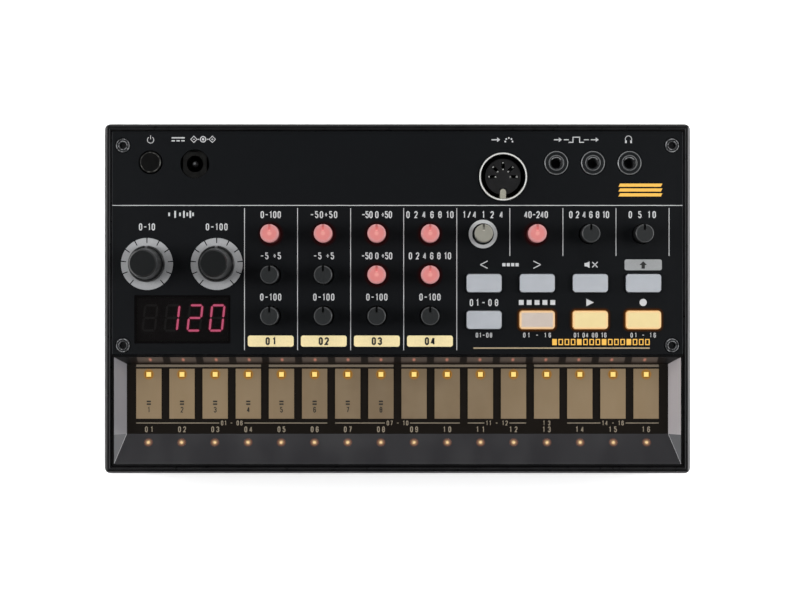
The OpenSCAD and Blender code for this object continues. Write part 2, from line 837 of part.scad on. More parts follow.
module button_mat() {
    wide = 3 * column_pitch + button_w + 2 * mat_rim;
    deep = button_row_pitch + button_d + 2 * mat_rim;
    mid_x = (button_xs[0] + button_xs[3]) / 2;
    mid_y = (button_rows[0] + button_rows[1]) / 2;
    color("#8b8f94") difference() {
        translate([mid_x, mid_y, 0]) slab(wide, deep, 1, main_z, main_z + mat_t);
        for (x = button_xs, y = button_rows) rod(x, y, 1.2, main_z - EPS, main_z + mat_t + EPS);
    }
}

module power_button() {
    flange_top = under_z - flange_gap;
    color("#202022") translate([power_x, power_y, 0]) {
        rotate_extrude() polygon([
            [0, socket_z + switch_h + 0.2 + power_travel], [1.6, socket_z + switch_h + 0.2 + power_travel],
            [1.6, flange_top - flange_t], [power_r + 0.9, flange_top - flange_t], [power_r + 0.9, flange_top],
            [power_r, flange_top], [power_r, panel_z + power_h - 0.4],
            [power_r - 0.4, panel_z + power_h], [0, panel_z + power_h]
        ]);
    }
}

module power_switch() {
    color("#1a1a1a") translate([power_x, power_y, 0])
        block([-switch_w / 2, -switch_w / 2, socket_z], [switch_w / 2, switch_w / 2, socket_z + switch_h]);
}

// ---------- sockets ----------

module power_inlet() {
    face = under_z - inlet_face_drop;
    half = inlet_body_w / 2;
    color("#161618") translate([inlet_x, inlet_y, 0]) difference() {
        union() {
            block([-half, -half, socket_z], [half, half, face]);
            // raised nose with cut-away sides inside the panel's opening
            difference() {
                rod(0, 0, inlet_hole_d / 2 - 0.1, face - EPS, panel_z - 0.6);
                for (a = [0, 90, 180]) rotate(a)
                    block([inlet_flat, -inlet_flat, face], [inlet_hole_d, inlet_flat, panel_z]);
            }
        }
        rod(0, 0, inlet_bore_d / 2, panel_z - inlet_depth, panel_z + EPS);
    }
}

// Centre pin of the power inlet and the five contacts of the round socket
module socket_contacts() {
    pin_r = inlet_pin_d / 2;
    pin_top = panel_z - 1.3;
    color("#c9cacc") translate([inlet_x, inlet_y, 0]) rotate_extrude() polygon([
        [0, panel_z - inlet_depth], [pin_r, panel_z - inlet_depth],
        [pin_r, pin_top - 0.4], [pin_r - 0.4, pin_top], [0, pin_top]
    ]);
    contact_z = socket_z + din_floor;
    reach = din_slot_l / 2 - din_leaf_gap;
    color("#d9c48a") translate([din_x, din_y, 0]) for (i = [0:4]) rotate(i * 45)
        translate([din_pin_circle_r, 0, 0]) difference() {
            block([-reach, -din_leaf_w / 2, contact_z], [reach, din_leaf_w / 2, panel_z - 0.7]);
            block([din_leaf_t - reach, -1, contact_z + 1], [reach - din_leaf_t, 1, panel_z]);
        }
}

module din_shell() {
    r = din_d / 2;
    top = panel_z + din_rise;
    tab_end = -r + din_wall + key_tab_l - key_tab_w / 2;
    color("#c8cacc") translate([din_x, din_y, 0]) {
        difference() {
            rod(0, 0, r, socket_z, top);
            rod(0, 0, r - din_wall, socket_z - EPS, top + EPS);
        }
        // locating tab with a round end
        block(
            [-key_tab_w / 2, -r + din_wall / 2, socket_z + din_floor],
            [key_tab_w / 2, tab_end, top - 1.2]
        );
        rod(0, tab_end, key_tab_w / 2, socket_z + din_floor, top - 1.2);
    }
}

module din_insert() {
    r_in = din_d / 2 - din_wall;
    color("#161618") translate([din_x, din_y, 0]) difference() {
        union() {
            rod(0, 0, r_in, socket_z, socket_z + din_floor);
            rod(0, 0, din_insert_d / 2, socket_z, panel_z - 0.4);
        }
        for (i = [0:4]) rotate(i * 45) translate([din_pin_circle_r, 0, 0])
            slab(din_slot_l, din_slot_w, din_slot_r, socket_z + din_floor, panel_z);
        // keyway for the locating tab
        block(
            [-key_tab_w / 2 - 0.1, -r_in - 1, socket_z + din_floor],
            [key_tab_w / 2 + 0.1, -r_in + key_tab_l + 0.1, panel_z]
        );
    }
}

module jack_bodies() {
    color("#1b1b1d") for (x = jack_xs) translate([x, socket_y, 0]) difference() {
        block([-jack_body_w / 2, -jack_body_d / 2, socket_z], [jack_body_w / 2, jack_body_d / 2, under_z]);
        rod(0, 0, jack_bore_d / 2, socket_z + 1, under_z + EPS);
    }
}

module jack_collars() {
    r = jack_collar_d / 2;
    bore_r = jack_bore_d / 2;
    top = panel_z + jack_rise;
    color("#2c2e31") for (x = jack_xs) translate([x, socket_y, 0]) rotate_extrude() polygon([
        [bore_r, under_z], [r, under_z], [r, top - 0.25], [r - 0.25, top], [r - 0.8, top], [r - 1, top - 0.3],
        [r - 1.3, top - 0.3], [r - 1.5, top], [bore_r + 0.45, top], [bore_r, top - 0.45]
    ]);
}

// ---------- key tray ----------

// Pocket with four sloping sides, open above and below
module tray_pocket() {
    rise = panel_z - tray_z;
    over = 1;
    side = over * slope_side / rise;
    rear = over * slope_rear / rise;
    front = over * (slope_front - tray_edge) / rise;
    intersection() {
        along_y(tray_front - 1, tray_rear + 1) polygon([
            [-floor_half_w + side, tray_z - over], [-floor_half_w - slope_side - side, panel_z + over],
            [floor_half_w + slope_side + side, panel_z + over], [floor_half_w - side, tray_z - over]
        ]);
        along_x(panel_w) polygon([
            [floor_front + front, tray_z - over], [tray_front + tray_edge - front, panel_z + over],
            [tray_rear - tray_edge + rear, panel_z + over], [floor_rear - rear, tray_z - over]
        ]);
    }
}

module key_bezel() {
    color("#303033") difference() {
        translate([0, (tray_rear + tray_front) / 2, 0])
            slab(panel_w, tray_rear - tray_front, 0.4, tray_z, panel_z);
        tray_pocket();
        // the front slope is hollow underneath
        along_x(panel_w - 8) polygon([
            [tray_front + 1.4, tray_z - EPS], [tray_front + 1.4, panel_z - 2.6],
            [floor_front - 2.6, tray_z - EPS]
        ]);
    }
}

module touch_board() {
    margin = 0.8;
    color("#15131a") block(
        [-panel_w / 2 + margin, tray_front + margin, tray_z - board_t],
        [panel_w / 2 - margin, tray_rear - margin, tray_z]
    );
}

module touch_pads() {
    groups = key_count / bar_keys;
    bar_w = (bar_keys - 1) * key_pitch + key_w;
    color("#93805f") translate([0, 0, tray_z]) linear_extrude(contact_t) {
        for (x = key_xs) difference() {
            translate([x, key_y]) square([key_w, key_d], center = true);
            translate([x, light_y]) square(light_w + 2 * light_gap, center = true);
        }
        for (i = [0:groups - 1])
            translate([key_xs[0] - key_w / 2 + i * bar_keys * key_pitch, key_rear_y + bar_gap])
                square([bar_w, bar_d]);
    }
}

module step_lights() {
    color("#ffd24a") for (x = key_xs) translate([x, light_y, tray_z])
        linear_extrude(light_t) square(light_w, center = true);
}

// ---------- boards ----------

module main_board() {
    color("#1f4a33") block(
        [-board_edge, tray_front + 2, main_z - board_t],
        [board_edge, main_rear, main_z]
    );
}

module socket_board() {
    color("#1f4a33") block(
        [-board_edge, socket_front, socket_z - board_t],
        [board_edge, panel_rear - 1, socket_z]
    );
}

module board_lights() {
    chip = [1.6, 0.8, 0.7];
    color("#f2e9c8") {
        for (p = pot_places) translate([p[0], p[1], main_z + chip[2] / 2]) cube(chip, center = true);
        for (x = button_xs, y = button_rows)
            translate([x, y, main_z + chip[2] / 2]) cube(chip, center = true);
    }
}

module internal_wires() {
    lead_z = floor_z + wire_r;
    top = main_z + cable_rise;
    y0 = main_rear - 2;
    y1 = main_rear + 2;
    color("#b03030") {
        // flat cable between the two boards
        along_x(cable_w) polygon([
            [y0, main_z], [y0, top], [y1, top], [y1, socket_z], [y1 + cable_t, socket_z],
            [y1 + cable_t, top + cable_t], [y0 - cable_t, top + cable_t], [y0 - cable_t, main_z]
        ]);
        // pair of leads from the battery bay's wall to the speaker
        for (x = [-2, 2]) translate([speaker_x + x, bay_front - bay_wall, lead_z]) rotate([90, 0, 0])
            cylinder(r = wire_r, h = lead_l);
    }
}

// ---------- batteries ----------

module battery_cells() {
    color("#3f6f8f") for (row = [0:cell_rows - 1], k = [0, 1]) {
        flip = row % 2;
        start = flip == 0 ? bay_left + contact_plate_t + spring_l : bay_left + contact_plate_t;
        y = bay_rear - 0.3 - cell_pitch / 2 - row * cell_pitch;
        translate([start + k * cell_l + (flip == 0 ? 0 : cell_l), y, cell_z])
            rotate([0, flip == 0 ? 90 : -90, 0]) {
                cylinder(r = cell_d / 2, h = cell_l - cell_nub_h);
                translate([0, 0, cell_l - cell_nub_h - EPS]) cylinder(r = cell_nub_r, h = cell_nub_h + EPS);
            }
    }
}

module battery_contacts() {
    size = 9;
    color("#c2c4c6") for (row = [0:cell_rows - 1], end = [0, 1]) {
        y = bay_rear - 0.3 - cell_pitch / 2 - row * cell_pitch;
        x = end == 0 ? bay_left : bay_right - contact_plate_t;
        sprung = (row % 2) == end;
        translate([x, y, cell_z]) {
            block([0, -size / 2, -size / 2], [contact_plate_t, size / 2, size / 2]);
            if (sprung) translate([end == 0 ? contact_plate_t : 0, 0, 0]) rotate([0, end == 0 ? 90 : -90, 0])
                for (i = [0:spring_turns - 1]) translate([0, 0, (i + 0.5) * spring_pitch])
                    rotate_extrude() translate([3.6 - 0.5 * i, 0]) circle(spring_wire_r, $fn = 16);
        }
    }
}

// ---------- speaker ----------

module speaker_frame() {
    z0 = floor_z;
    color("#3a3b3e") translate([speaker_x, speaker_y, 0]) {
        rotate_extrude() polygon([
            [speaker_r - speaker_flange_w, z0], [speaker_r, z0], [speaker_r, z0 + speaker_flange_t],
            [speaker_r - 1.4, z0 + speaker_flange_t], [magnet_r + 2, z0 + speaker_h - magnet_h],
            [magnet_r, z0 + speaker_h - magnet_h], [magnet_r, z0 + speaker_h], [0, z0 + speaker_h],
            [0, z0 + speaker_h - magnet_h - 1], [magnet_r + 1, z0 + speaker_h - magnet_h - 1],
            [speaker_r - speaker_flange_w, z0 + speaker_flange_t]
        ]);
    }
}

// Paper cone with its dust cap, free to move inside the frame
module speaker_cone() {
    z0 = floor_z + cone_lift;
    rim_r = speaker_r - speaker_flange_w - cone_rim_gap;
    depth = speaker_h - magnet_h - speaker_flange_t - cone_lift - 1;
    color("#4b4640") translate([speaker_x, speaker_y, 0]) rotate_extrude() polygon([
        [0, z0 + depth - 1.4], [cone_cap_r - 1, z0 + depth - 1.1], [cone_cap_r, z0 + depth - cone_t],
        [rim_r - 1.5, z0], [rim_r, z0], [rim_r, z0 + cone_t], [rim_r - 1.2, z0 + cone_t],
        [cone_cap_r, z0 + depth], [cone_cap_r - 1, z0 + depth - 0.5], [0, z0 + depth - 0.8]
    ]);
}

top_case();
bottom_case();
control_panel();
key_bezel();
touch_board();
touch_pads();
step_lights();
display_window();
display_module();
display_segments();
main_board();
socket_board();
board_lights();
small_pot_bodies();
dial_pot_bodies();
button_mat();
power_switch();
power_inlet();
din_shell();
din_insert();
socket_contacts();
jack_bodies();
jack_collars();
battery_cells();
battery_contacts();
speaker_frame();
speaker_cone();
internal_wires();
feet();
screws();
dial(dial_xs[0]);  // left_dial
dial_shaft(dial_xs[0]);  // left_dial_shaft
dial(dial_xs[1]);  // right_dial
dial_shaft(dial_xs[1]);  // right_dial_shaft
color("#ee8c8a") knob([voice_xs[0], knob_rows[0]]);  // voice1_knob_top
color("#2a2c2e") knob([voice_xs[0], knob_rows[1]]);  // voice1_knob_mid
color("#2a2c2e") knob([voice_xs[0], knob_rows[2]]);  // voice1_knob_low
color("#ee8c8a") knob([voice_xs[1], knob_rows[0]]);  // voice2_knob_top
color("#2a2c2e") knob([voice_xs[1], knob_rows[1]]);  // voice2_knob_mid
color("#2a2c2e") knob([voice_xs[1], knob_rows[2]]);  // voice2_knob_low
color("#ee8c8a") knob([voice_xs[2], knob_rows[0]]);  // voice3_knob_top
color("#ee8c8a") knob([voice_xs[2], knob_rows[1]]);  // voice3_knob_mid
color("#2a2c2e") knob([voice_xs[2], knob_rows[2]]);  // voice3_knob_low
color("#ee8c8a") knob([voice_xs[3], knob_rows[0]]);  // voice4_knob_top
color("#ee8c8a") knob([voice_xs[3], knob_rows[1]]);  // voice4_knob_mid
color("#2a2c2e") knob([voice_xs[3], knob_rows[2]]);  // voice4_knob_low
color("#96958a") knob([right_xs[0], knob_row_y]);  // sample_knob
color("#ee8c8a") knob([right_xs[1], knob_row_y]);  // tempo_knob
color("#2a2c2e") knob([right_xs[2], knob_row_y]);  // level_knob
color("#2a2c2e") knob([right_xs[3], knob_row_y]);  // volume_knob
color("#b5bbc4") rubber_button(button_xs[0], button_rows[0]);  // button_left
color("#b5bbc4") rubber_button(button_xs[1], button_rows[0]);  // button_right
color("#b5bbc4") rubber_button(button_xs[2], button_rows[0]);  // button_mute
color("#b5bbc4") rubber_button(button_xs[3], button_rows[0]);  // button_shift
color("#b5bbc4") rubber_button(button_xs[0], button_rows[1]);  // button_memory
color("#d8c4b4") rubber_button(button_xs[1], button_rows[1]);  // button_step
color("#f0da96") rubber_button(button_xs[2], button_rows[1]);  // button_play
color("#f0da96") rubber_button(button_xs[3], button_rows[1]);  // button_record
power_button();
battery_cover();
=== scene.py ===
"""Looks of the drum machine: materials, printed marks, lamps, display, light and camera."""

import json
import math

import bmesh
import bpy
from mathutils import Matrix, Vector


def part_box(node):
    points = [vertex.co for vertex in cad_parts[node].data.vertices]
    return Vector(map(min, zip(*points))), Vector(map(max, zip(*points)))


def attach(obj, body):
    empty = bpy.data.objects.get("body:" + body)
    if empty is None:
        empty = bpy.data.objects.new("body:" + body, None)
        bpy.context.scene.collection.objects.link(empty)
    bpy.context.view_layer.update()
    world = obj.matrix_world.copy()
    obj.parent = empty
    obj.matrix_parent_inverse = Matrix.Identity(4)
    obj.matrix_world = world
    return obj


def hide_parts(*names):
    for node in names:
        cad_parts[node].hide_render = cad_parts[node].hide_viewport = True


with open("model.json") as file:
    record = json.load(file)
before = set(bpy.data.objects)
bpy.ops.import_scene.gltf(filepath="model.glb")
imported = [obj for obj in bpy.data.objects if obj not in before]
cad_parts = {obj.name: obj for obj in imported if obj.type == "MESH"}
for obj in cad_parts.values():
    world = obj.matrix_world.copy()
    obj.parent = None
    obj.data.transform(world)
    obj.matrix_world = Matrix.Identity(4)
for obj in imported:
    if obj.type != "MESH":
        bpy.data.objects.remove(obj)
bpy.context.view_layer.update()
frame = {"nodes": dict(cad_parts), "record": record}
nodes = frame["nodes"]

MM = 0.001          # a millimetre in metres. Lengths are in millimetres where nothing else is said
CASE = "case"       # the body that every piece made here rides on
PRINT_T = 0.03      # thickness of a printed mark
GLOW_LIFT = 0.02    # height of a glow over the surface that it lies on


# ---- places, from the frame ----

def low(node):
    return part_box(node)[0] / MM


def high(node):
    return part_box(node)[1] / MM


def middle(node):
    return (low(node) + high(node)) / 2


panel_z = high("control_panel").z
tray_z = high("touch_board").z
pad_z = high("touch_pads").z
panel_left, panel_right = low("control_panel").x, high("control_panel").x
panel_front = low("control_panel").y

UPPER_BUTTONS = ["button_left", "button_right", "button_mute", "button_shift"]
LOWER_BUTTONS = ["button_memory", "button_step", "button_play", "button_record"]
voice_xs = [middle(f"voice{i}_knob_top").x for i in (1, 2, 3, 4)]
right_xs = [middle(name).x for name in ("sample_knob", "tempo_knob", "level_knob", "volume_knob")]
dial_xs = [middle("left_dial").x, middle("right_dial").x]
button_xs = [middle(name).x for name in UPPER_BUTTONS]
column_pitch = voice_xs[1] - voice_xs[0]
row_ys = [middle(f"voice1_knob_{row}").y for row in ("top", "mid", "low")]
upper_y, lower_y = middle("button_left").y, middle("button_memory").y

# The rubber buttons: their tops, and the flanges under the panel
BUTTON_W, BUTTON_D = 11.5, 5.9
FLANGE_W, FLANGE_D = 13.1, 7.5

# The touch keys: equal keys between the outermost edges of their printed layer
KEY_COUNT, KEY_W, LIGHT_W = 16, 8.4, 1.7
key_step = (high("touch_pads").x - low("touch_pads").x - KEY_W) / (KEY_COUNT - 1)
key_xs = [low("touch_pads").x + KEY_W / 2 + i * key_step for i in range(KEY_COUNT)]
key_front = low("touch_pads").y
light_y = middle("step_lights").y

# The tray's slopes in plan, measured from the bezel's edges
TRAY_EDGE, SLOPE_SIDE, SLOPE_REAR, SLOPE_FRONT = 0.7, 3.6, 2.4, 10.45
tray_half_w = high("key_bezel").x - TRAY_EDGE - SLOPE_SIDE
tray_front = low("key_bezel").y + SLOPE_FRONT
tray_rear = high("key_bezel").y - TRAY_EDGE - SLOPE_REAR
side_run = SLOPE_SIDE / (panel_z - tray_z)                     # a side slope's run for its rise
front_rise = (panel_z - tray_z) / (SLOPE_FRONT - TRAY_EDGE)    # the front slope's rise for its run


# ---- colours and nodes ----

BLACK, WHITE = (0, 0, 0, 1), (1, 1, 1, 1)


def linear(tone):
    """A linear colour, from three numbers of 0 to 255 as a screen shows them or from four linear ones."""
    if len(tone) == 4:
        return tone
    shares = [value / 255 for value in tone]
    return tuple(s / 12.92 if s <= 0.04045 else ((s + 0.055) / 1.055) ** 2.4 for s in shares) + (1.0,)


def scaled(base, factor):
    return tuple(min(1.0, channel * factor) for channel in linear(base)[:3]) + (1.0,)


def operator(operation):
    """The function that makes a Math node of one operation."""
    return lambda first, *others: first.graph.math(operation, first, *others)


least, most = operator("MINIMUM"), operator("MAXIMUM")


class Value:
    """What a node gives at each point. It is reckoned with like a number."""

    def __init__(self, graph, socket):
        self.graph, self.socket = graph, socket

    __add__, __sub__, __mul__ = operator("ADD"), operator("SUBTRACT"), operator("MULTIPLY")
    __truediv__, __gt__, __lt__ = operator("DIVIDE"), operator("GREATER_THAN"), operator("LESS_THAN")
    __abs__ = operator("ABSOLUTE")

    def __rsub__(self, other):
        return self.graph.math("SUBTRACT", other, self)

    def mix(self, first, second):
        """The first colour where this is 0 and the second where it is 1."""
        made = self.graph.node("Mix", self, settings={"data_type": "RGBA"})
        self.graph.feed(made.inputs[6], first)
        self.graph.feed(made.inputs[7], second)
        return Value(self.graph, made.outputs[2])

    def remap(self, from_low, from_high, to_low, to_high, kind="SMOOTHSTEP"):
        """One range carried over to another. Outside it the result stays at its ends."""
        return self.graph.value("MapRange", self, from_low, from_high, to_low, to_high,
                                settings={"interpolation_type": kind})

    def rise(self, start, end):
        """0 up to the start, then up to 1 at the end."""
        return self.remap(start, end, 0.0, 1.0)

    def fall(self, start, end):
        """1 up to the start, then down to 0 at the end."""
        return self.remap(start, end, 1.0, 0.0)

    def band(self, start, end, soft):
        """1 between the start and the end, falling to 0 over the soft width on both sides."""
        return self.rise(start - soft, start + soft) * self.fall(end - soft, end + soft)

    def spread(self, lowest, highest):
        """A noise, most of which lies between 0.3 and 0.7, spread over a range."""
        return self.remap(0.3, 0.7, lowest, highest)

    def nearest(self, first, pitch):
        """For a row of places: the distance from the nearest one, and how many pitches lie before here."""
        count = (self - (first - pitch / 2)) / pitch
        return (self.graph.math("FRACT", count) - 0.5) * pitch, count


def length(across, along):
    return across.graph.math("SQRT", across * across + along * along)


class Graph:
    """The nodes of one material or of the sky, made and linked in few words."""

    def __init__(self, name, sky=False):
        self.owner = (bpy.data.worlds if sky else bpy.data.materials).new(name)
        self.owner.use_nodes = True
        self.tree = self.owner.node_tree
        self.shader = self.tree.nodes["Background" if sky else "Principled BSDF"]

    def feed(self, socket, source):
        """Sets a socket to a number or colour, or links a value to it."""
        if isinstance(source, Value):
            self.tree.links.new(source.socket, socket)
        else:
            socket.default_value = linear(source) if socket.type == "RGBA" else source

    def set(self, node=None, **inputs):
        """Feeds the sockets of a node, or the shader's, such as Roughness or Base_Color."""
        for key, source in inputs.items():
            self.feed((node or self.shader).inputs[key.replace("_", " ")], source)

    def node(self, kind, *sources, settings=None, **inputs):
        """A new node with its settings, and with its inputs fed in their order or by name."""
        made = self.tree.nodes.new("ShaderNode" + kind)
        for key, setting in (settings or {}).items():
            setattr(made, key, setting)
        for socket, source in zip(made.inputs, sources):
            self.feed(socket, source)
        self.set(made, **inputs)
        return made

    def value(self, kind, *sources, output=0, **inputs):
        """One output of a new node."""
        return Value(self, self.node(kind, *sources, **inputs).outputs[output])

    def math(self, operation, *sources):
        return self.value("Math", *sources, settings={"operation": operation})

    def place(self, kind="Object"):
        return self.value("TexCoord", output=kind)

    def axes(self, kind="Object"):
        """x, y and z: in millimetres, or as shares of the node's own box where the kind is Generated."""
        axes = [Value(self, socket) for socket in self.node("SeparateXYZ", self.place(kind)).outputs]
        return axes if kind == "Generated" else [axis / MM for axis in axes]

    def noise(self, per_metre, detail=2.0, stretch=(1, 1, 1)):
        stretched = self.value("Mapping", Vector=self.place(), Scale=stretch)
        return self.value("TexNoise", output="Fac", Vector=stretched, Scale=per_metre, Detail=detail)

    def patches(self, per_metre, detail, first, second):
        """Two colours in soft uneven patches."""
        return self.noise(per_metre, detail).mix(first, second)

    def bump(self, height, strength):
        self.set(Normal=self.value("Bump", Height=height, Strength=strength, Distance=0.02 * MM))

    def glow(self, hue, strength=1.0):
        self.set(Emission_Color=hue, Emission_Strength=strength)

    def seen(self):
        """1 for the rays that show the background: from the camera, off gloss and through clear pieces."""
        path = self.node("LightPath").outputs
        camera, glossy, clear = (Value(self, path[name]) for name in
                                 ("Is Camera Ray", "Is Glossy Ray", "Is Transmission Ray"))
        return most(most(camera, glossy), clear)


def finish(name, base, roughness, spread=0.12, grain=0.0, grain_scale=3000, blotch_scale=60, wear=0.05,
           **sockets):
    """A moulded or painted surface: slow colour variation, uneven gloss and a fine grain.

    The base is None where the caller paints the surface itself.
    """
    graph = Graph(name)
    if base:
        tone = graph.patches(blotch_scale, 4.0, scaled(base, 1 - spread), scaled(base, 1 + spread))
        graph.set(Base_Color=tone)
    gloss = graph.noise(blotch_scale * 7, 3.0)
    graph.set(Roughness=gloss.spread(roughness - wear, roughness + wear), **sockets)
    if grain:
        graph.bump(graph.noise(grain_scale, 3.0), grain)
    return graph


def metal(name, base, roughness, brushed=(1, 1, 1), plating=1.0):
    """Plated or brushed metal with very fine scratches. The base is None where the caller paints it."""
    graph = Graph(name)
    scratches = graph.noise(6000, 3.0, stretch=brushed)
    if base:
        graph.set(Base_Color=scratches.mix(scaled(base, 0.92), scaled(base, 1.06)))
    graph.set(Metallic=plating, Roughness=scratches.spread(roughness * 0.85, roughness * 1.15))
    graph.bump(scratches, 0.03)
    return graph


# ---- materials, one function per kind ----

def case_plastic(name):
    """Satin black, with painted highlights along the step inside the rim and on the front and right edges.
    """
    graph = finish(name, None, 0.32, grain=0.15, grain_scale=2600, Specular_IOR_Level=0.3)
    x, y, z = graph.axes()
    outer = high("top_case")
    at_top = z > panel_z
    across, along = outer.x - abs(x), outer.y - abs(y)
    # painted highlight along the step inside the rim, stronger on the sides
    step = least(across, along).band(1.5, 1.75, 0.05)
    side_highlight_share = (across < along) * 0.75 + 0.25
    tone = (step * at_top * side_highlight_share).mix((12, 12, 13), (66, 66, 68))
    # painted highlights along the front and right outer edges
    front_edge_highlight = y.band(-outer.y + 0.2, -outer.y + 0.62, 0.08)
    right_edge_highlight = x.band(outer.x - 0.75, outer.x - 0.2, 0.08)
    graph.set(Base_Color=(most(front_edge_highlight, right_edge_highlight) * at_top).mix(tone, (108, 108, 110)))
    return graph


def panel_plastic(name):
    """Satin black, with a painted highlight as a thin lighter line along its side edges."""
    graph = finish(name, None, 0.26, grain=0.04, grain_scale=5200, wear=0.008, Specular_IOR_Level=0.25)
    x, _, _ = graph.axes()
    face = graph.patches(60, 4.0, (19, 20, 22), (21, 23, 25))
    # painted highlight: a lighter line along the panel's side edges
    graph.set(Base_Color=(abs(x) > panel_right - 0.22).mix(face, (56, 57, 59)))
    return graph


def bezel_plastic(name):
    """Glossy dark plastic, with painted reflections: a light satin grey on the side slopes, and the keys on
    the rear slope.
    """
    graph = Graph(name)
    x, y, z = graph.axes()
    height = z - tray_z
    below_edge = z < panel_z - 0.02
    on_side = (abs(x) - tray_half_w - height * side_run > -0.03) * below_edge
    in_front = y < tray_front
    # painted reflection on the side slopes: light grey, brighter on the right and darker in front of the
    # tray
    left_reflection = in_front.mix((130, 128, 132), (93, 93, 96))
    right_reflection = in_front.mix((177, 171, 173), (80, 81, 84))
    side_reflection = (x > 0.0).mix(left_reflection, right_reflection)
    # painted highlight along the mitre between each side slope and the front slope
    off_mitre = abs((tray_front - y) * front_rise - height)
    mitre_highlight = off_mitre.fall(0.08, 0.2) * on_side
    side_reflection = mitre_highlight.mix(side_reflection, (176, 175, 178))
    streaks = graph.noise(90, 3.0, stretch=(1, 0.25, 1))
    front_tone = streaks.mix((38, 37, 40), (41, 41, 43))
    dark_tone = below_edge.mix((14, 14, 15), front_tone)
    moulded = on_side.mix(dark_tone, side_reflection)
    # painted reflection of the keys on the rear slope
    on_rear = (y > tray_rear) * below_edge * (1.0 - on_side)
    mirrored, spot = painted_key_reflection(graph, x, y, height)
    graph.set(Base_Color=on_rear.mix(moulded, mirrored), IOR=1.5,
              Roughness=streaks.spread(0.16, 0.22) + on_rear * 0.3)
    # painted reflection of the step lamps' red spots, as a glow on the rear slope
    graph.glow((on_rear * spot).mix(BLACK, (0.20, 0.09, 0.07, 1)))
    return graph


def painted_key_reflection(graph, x, y, height):
    """A painted reflection of the keys in the rear slope: a dull patch for each, and where its lamp's red
    spot is.
    """
    mirrored_share = 1.01    # the mirrored keys stand this much closer together than the keys
    off_key, count = (x * mirrored_share).nearest(key_xs[0], key_step)
    on_row = count.band(-0.1, KEY_COUNT + 0.1, 0.03)
    on_key = abs(off_key).fall(KEY_W / 2 - 0.1, KEY_W / 2 + 0.3)
    upper = height.rise(0.3, 2.6)
    key_tone = upper.mix((44, 32, 25), (120, 108, 101))
    gap_tone = upper.mix((32, 24, 16), (34, 29, 28))
    tone = on_row.mix((10, 10, 10), on_key.mix(gap_tone, key_tone))
    spot = length(off_key, y - (tray_rear + 1.5)).fall(0.1, 0.8) * on_row
    return spot.mix(tone, (206, 128, 108)), spot


def contact_print(name):
    """Dull metallic print with faint vertical streaks, a little darker in the middle of the keyboard."""
    graph = Graph(name)
    x, y, _ = graph.axes()
    streaks = graph.noise(240, 5.0, stretch=(1, 0.3, 1))
    light = streaks.mix((134, 114, 86), (144, 124, 96))
    dull = streaks.mix((114, 97, 75), (124, 107, 84))
    tone = abs(x).rise(0.0, 75).mix(dull, light)
    patch = graph.noise(70, 3.0).remap(0.35, 0.7, 0.0, 0.35)
    tone = patch.mix(tone, (140, 122, 96))
    on_bar = y > high("touch_pads").y - 1.0
    graph.set(Base_Color=on_bar.mix(tone, (118, 107, 92)),
              Roughness=streaks.spread(0.42, 0.58), Specular_IOR_Level=0.3)
    graph.bump(graph.noise(3600, 2.0), 0.12)
    return graph


def lamp_yellow(name):
    """A lit chip with a golden edge."""
    graph = Graph(name)
    x, y, _ = graph.axes()
    off_lamp, _ = x.nearest(key_xs[0], key_step)
    edge = most(abs(off_lamp), abs(y - light_y)).rise(LIGHT_W / 2 - 0.18, LIGHT_W / 2)
    chip = graph.patches(1500, 1.0, (1.0, 0.68, 0.19, 1), (1.0, 0.80, 0.26, 1))
    graph.set(Base_Color=(0.05, 0.03, 0.01, 1), Roughness=0.3)
    graph.glow(edge.mix(chip, (0.62, 0.32, 0.04, 1)))
    return graph


def board_green(name):
    """Solder mask with a faint copper pattern under it."""
    graph = Graph(name)
    traces = graph.value("TexBrick", output="Color", Vector=graph.place(), Scale=120,
                         Color1=(24, 74, 46), Color2=(20, 66, 42), Mortar=(44, 104, 62))
    graph.set(Base_Color=traces, Roughness=graph.noise(900).spread(0.25, 0.4))
    return graph


def screw_steel(name):
    """Blackened steel, with painted highlights round the head's edge and round a panel screw's hexagon
    socket.
    """
    graph = metal(name, None, 0.3, plating=0.6)
    x, y, _ = graph.axes()
    head_r, socket_r, front_screws_y = 2.25, 1.5, panel_front + 3.0
    across = abs(x) - (high("screws").x - head_r)
    along = least(abs(y - (high("screws").y - head_r)), abs(y - front_screws_y))
    radius = length(across, along)
    # painted highlights on the head's edge and on the socket's edge, broken up in patches
    rim = radius.band(head_r - 0.3, head_r, 0.12)
    socket = radius.band(socket_r - 0.22, socket_r, 0.1)
    patchy_highlight = graph.noise(1300, 2.0).remap(0.38, 0.62, 0.12, 1.0)
    graph.set(Base_Color=(most(rim, socket) * patchy_highlight).mix((30, 31, 33), (196, 198, 201)))
    return graph


def collar_plastic(name):
    """Dark collar with two painted highlights as bright rings, and a painted glint on the edge behind the
    bore.
    """
    graph = metal(name, None, 0.3, plating=0.4)
    x, y, _ = graph.axes()
    collar_r = 3.9
    first = low("jack_collars").x + collar_r
    pitch = (high("jack_collars").x - collar_r - first) / 2
    across, _ = x.nearest(first, pitch)
    along = y - middle("jack_collars").y
    radius = length(across, along)
    # painted highlights: two bright rings, and a glint on the bore's rear edge
    outer = radius.band(collar_r - 0.28, collar_r + 0.1, 0.1)
    inner = radius.band(2.3, 2.6, 0.12)
    bore_glint = radius.fall(1.85, 2.0) * along.rise(0.9, 1.3)
    bright = most(most(outer, inner) * 0.3, bore_glint)
    graph.set(Base_Color=bright.mix((34, 36, 38), (236, 238, 240)))
    return graph


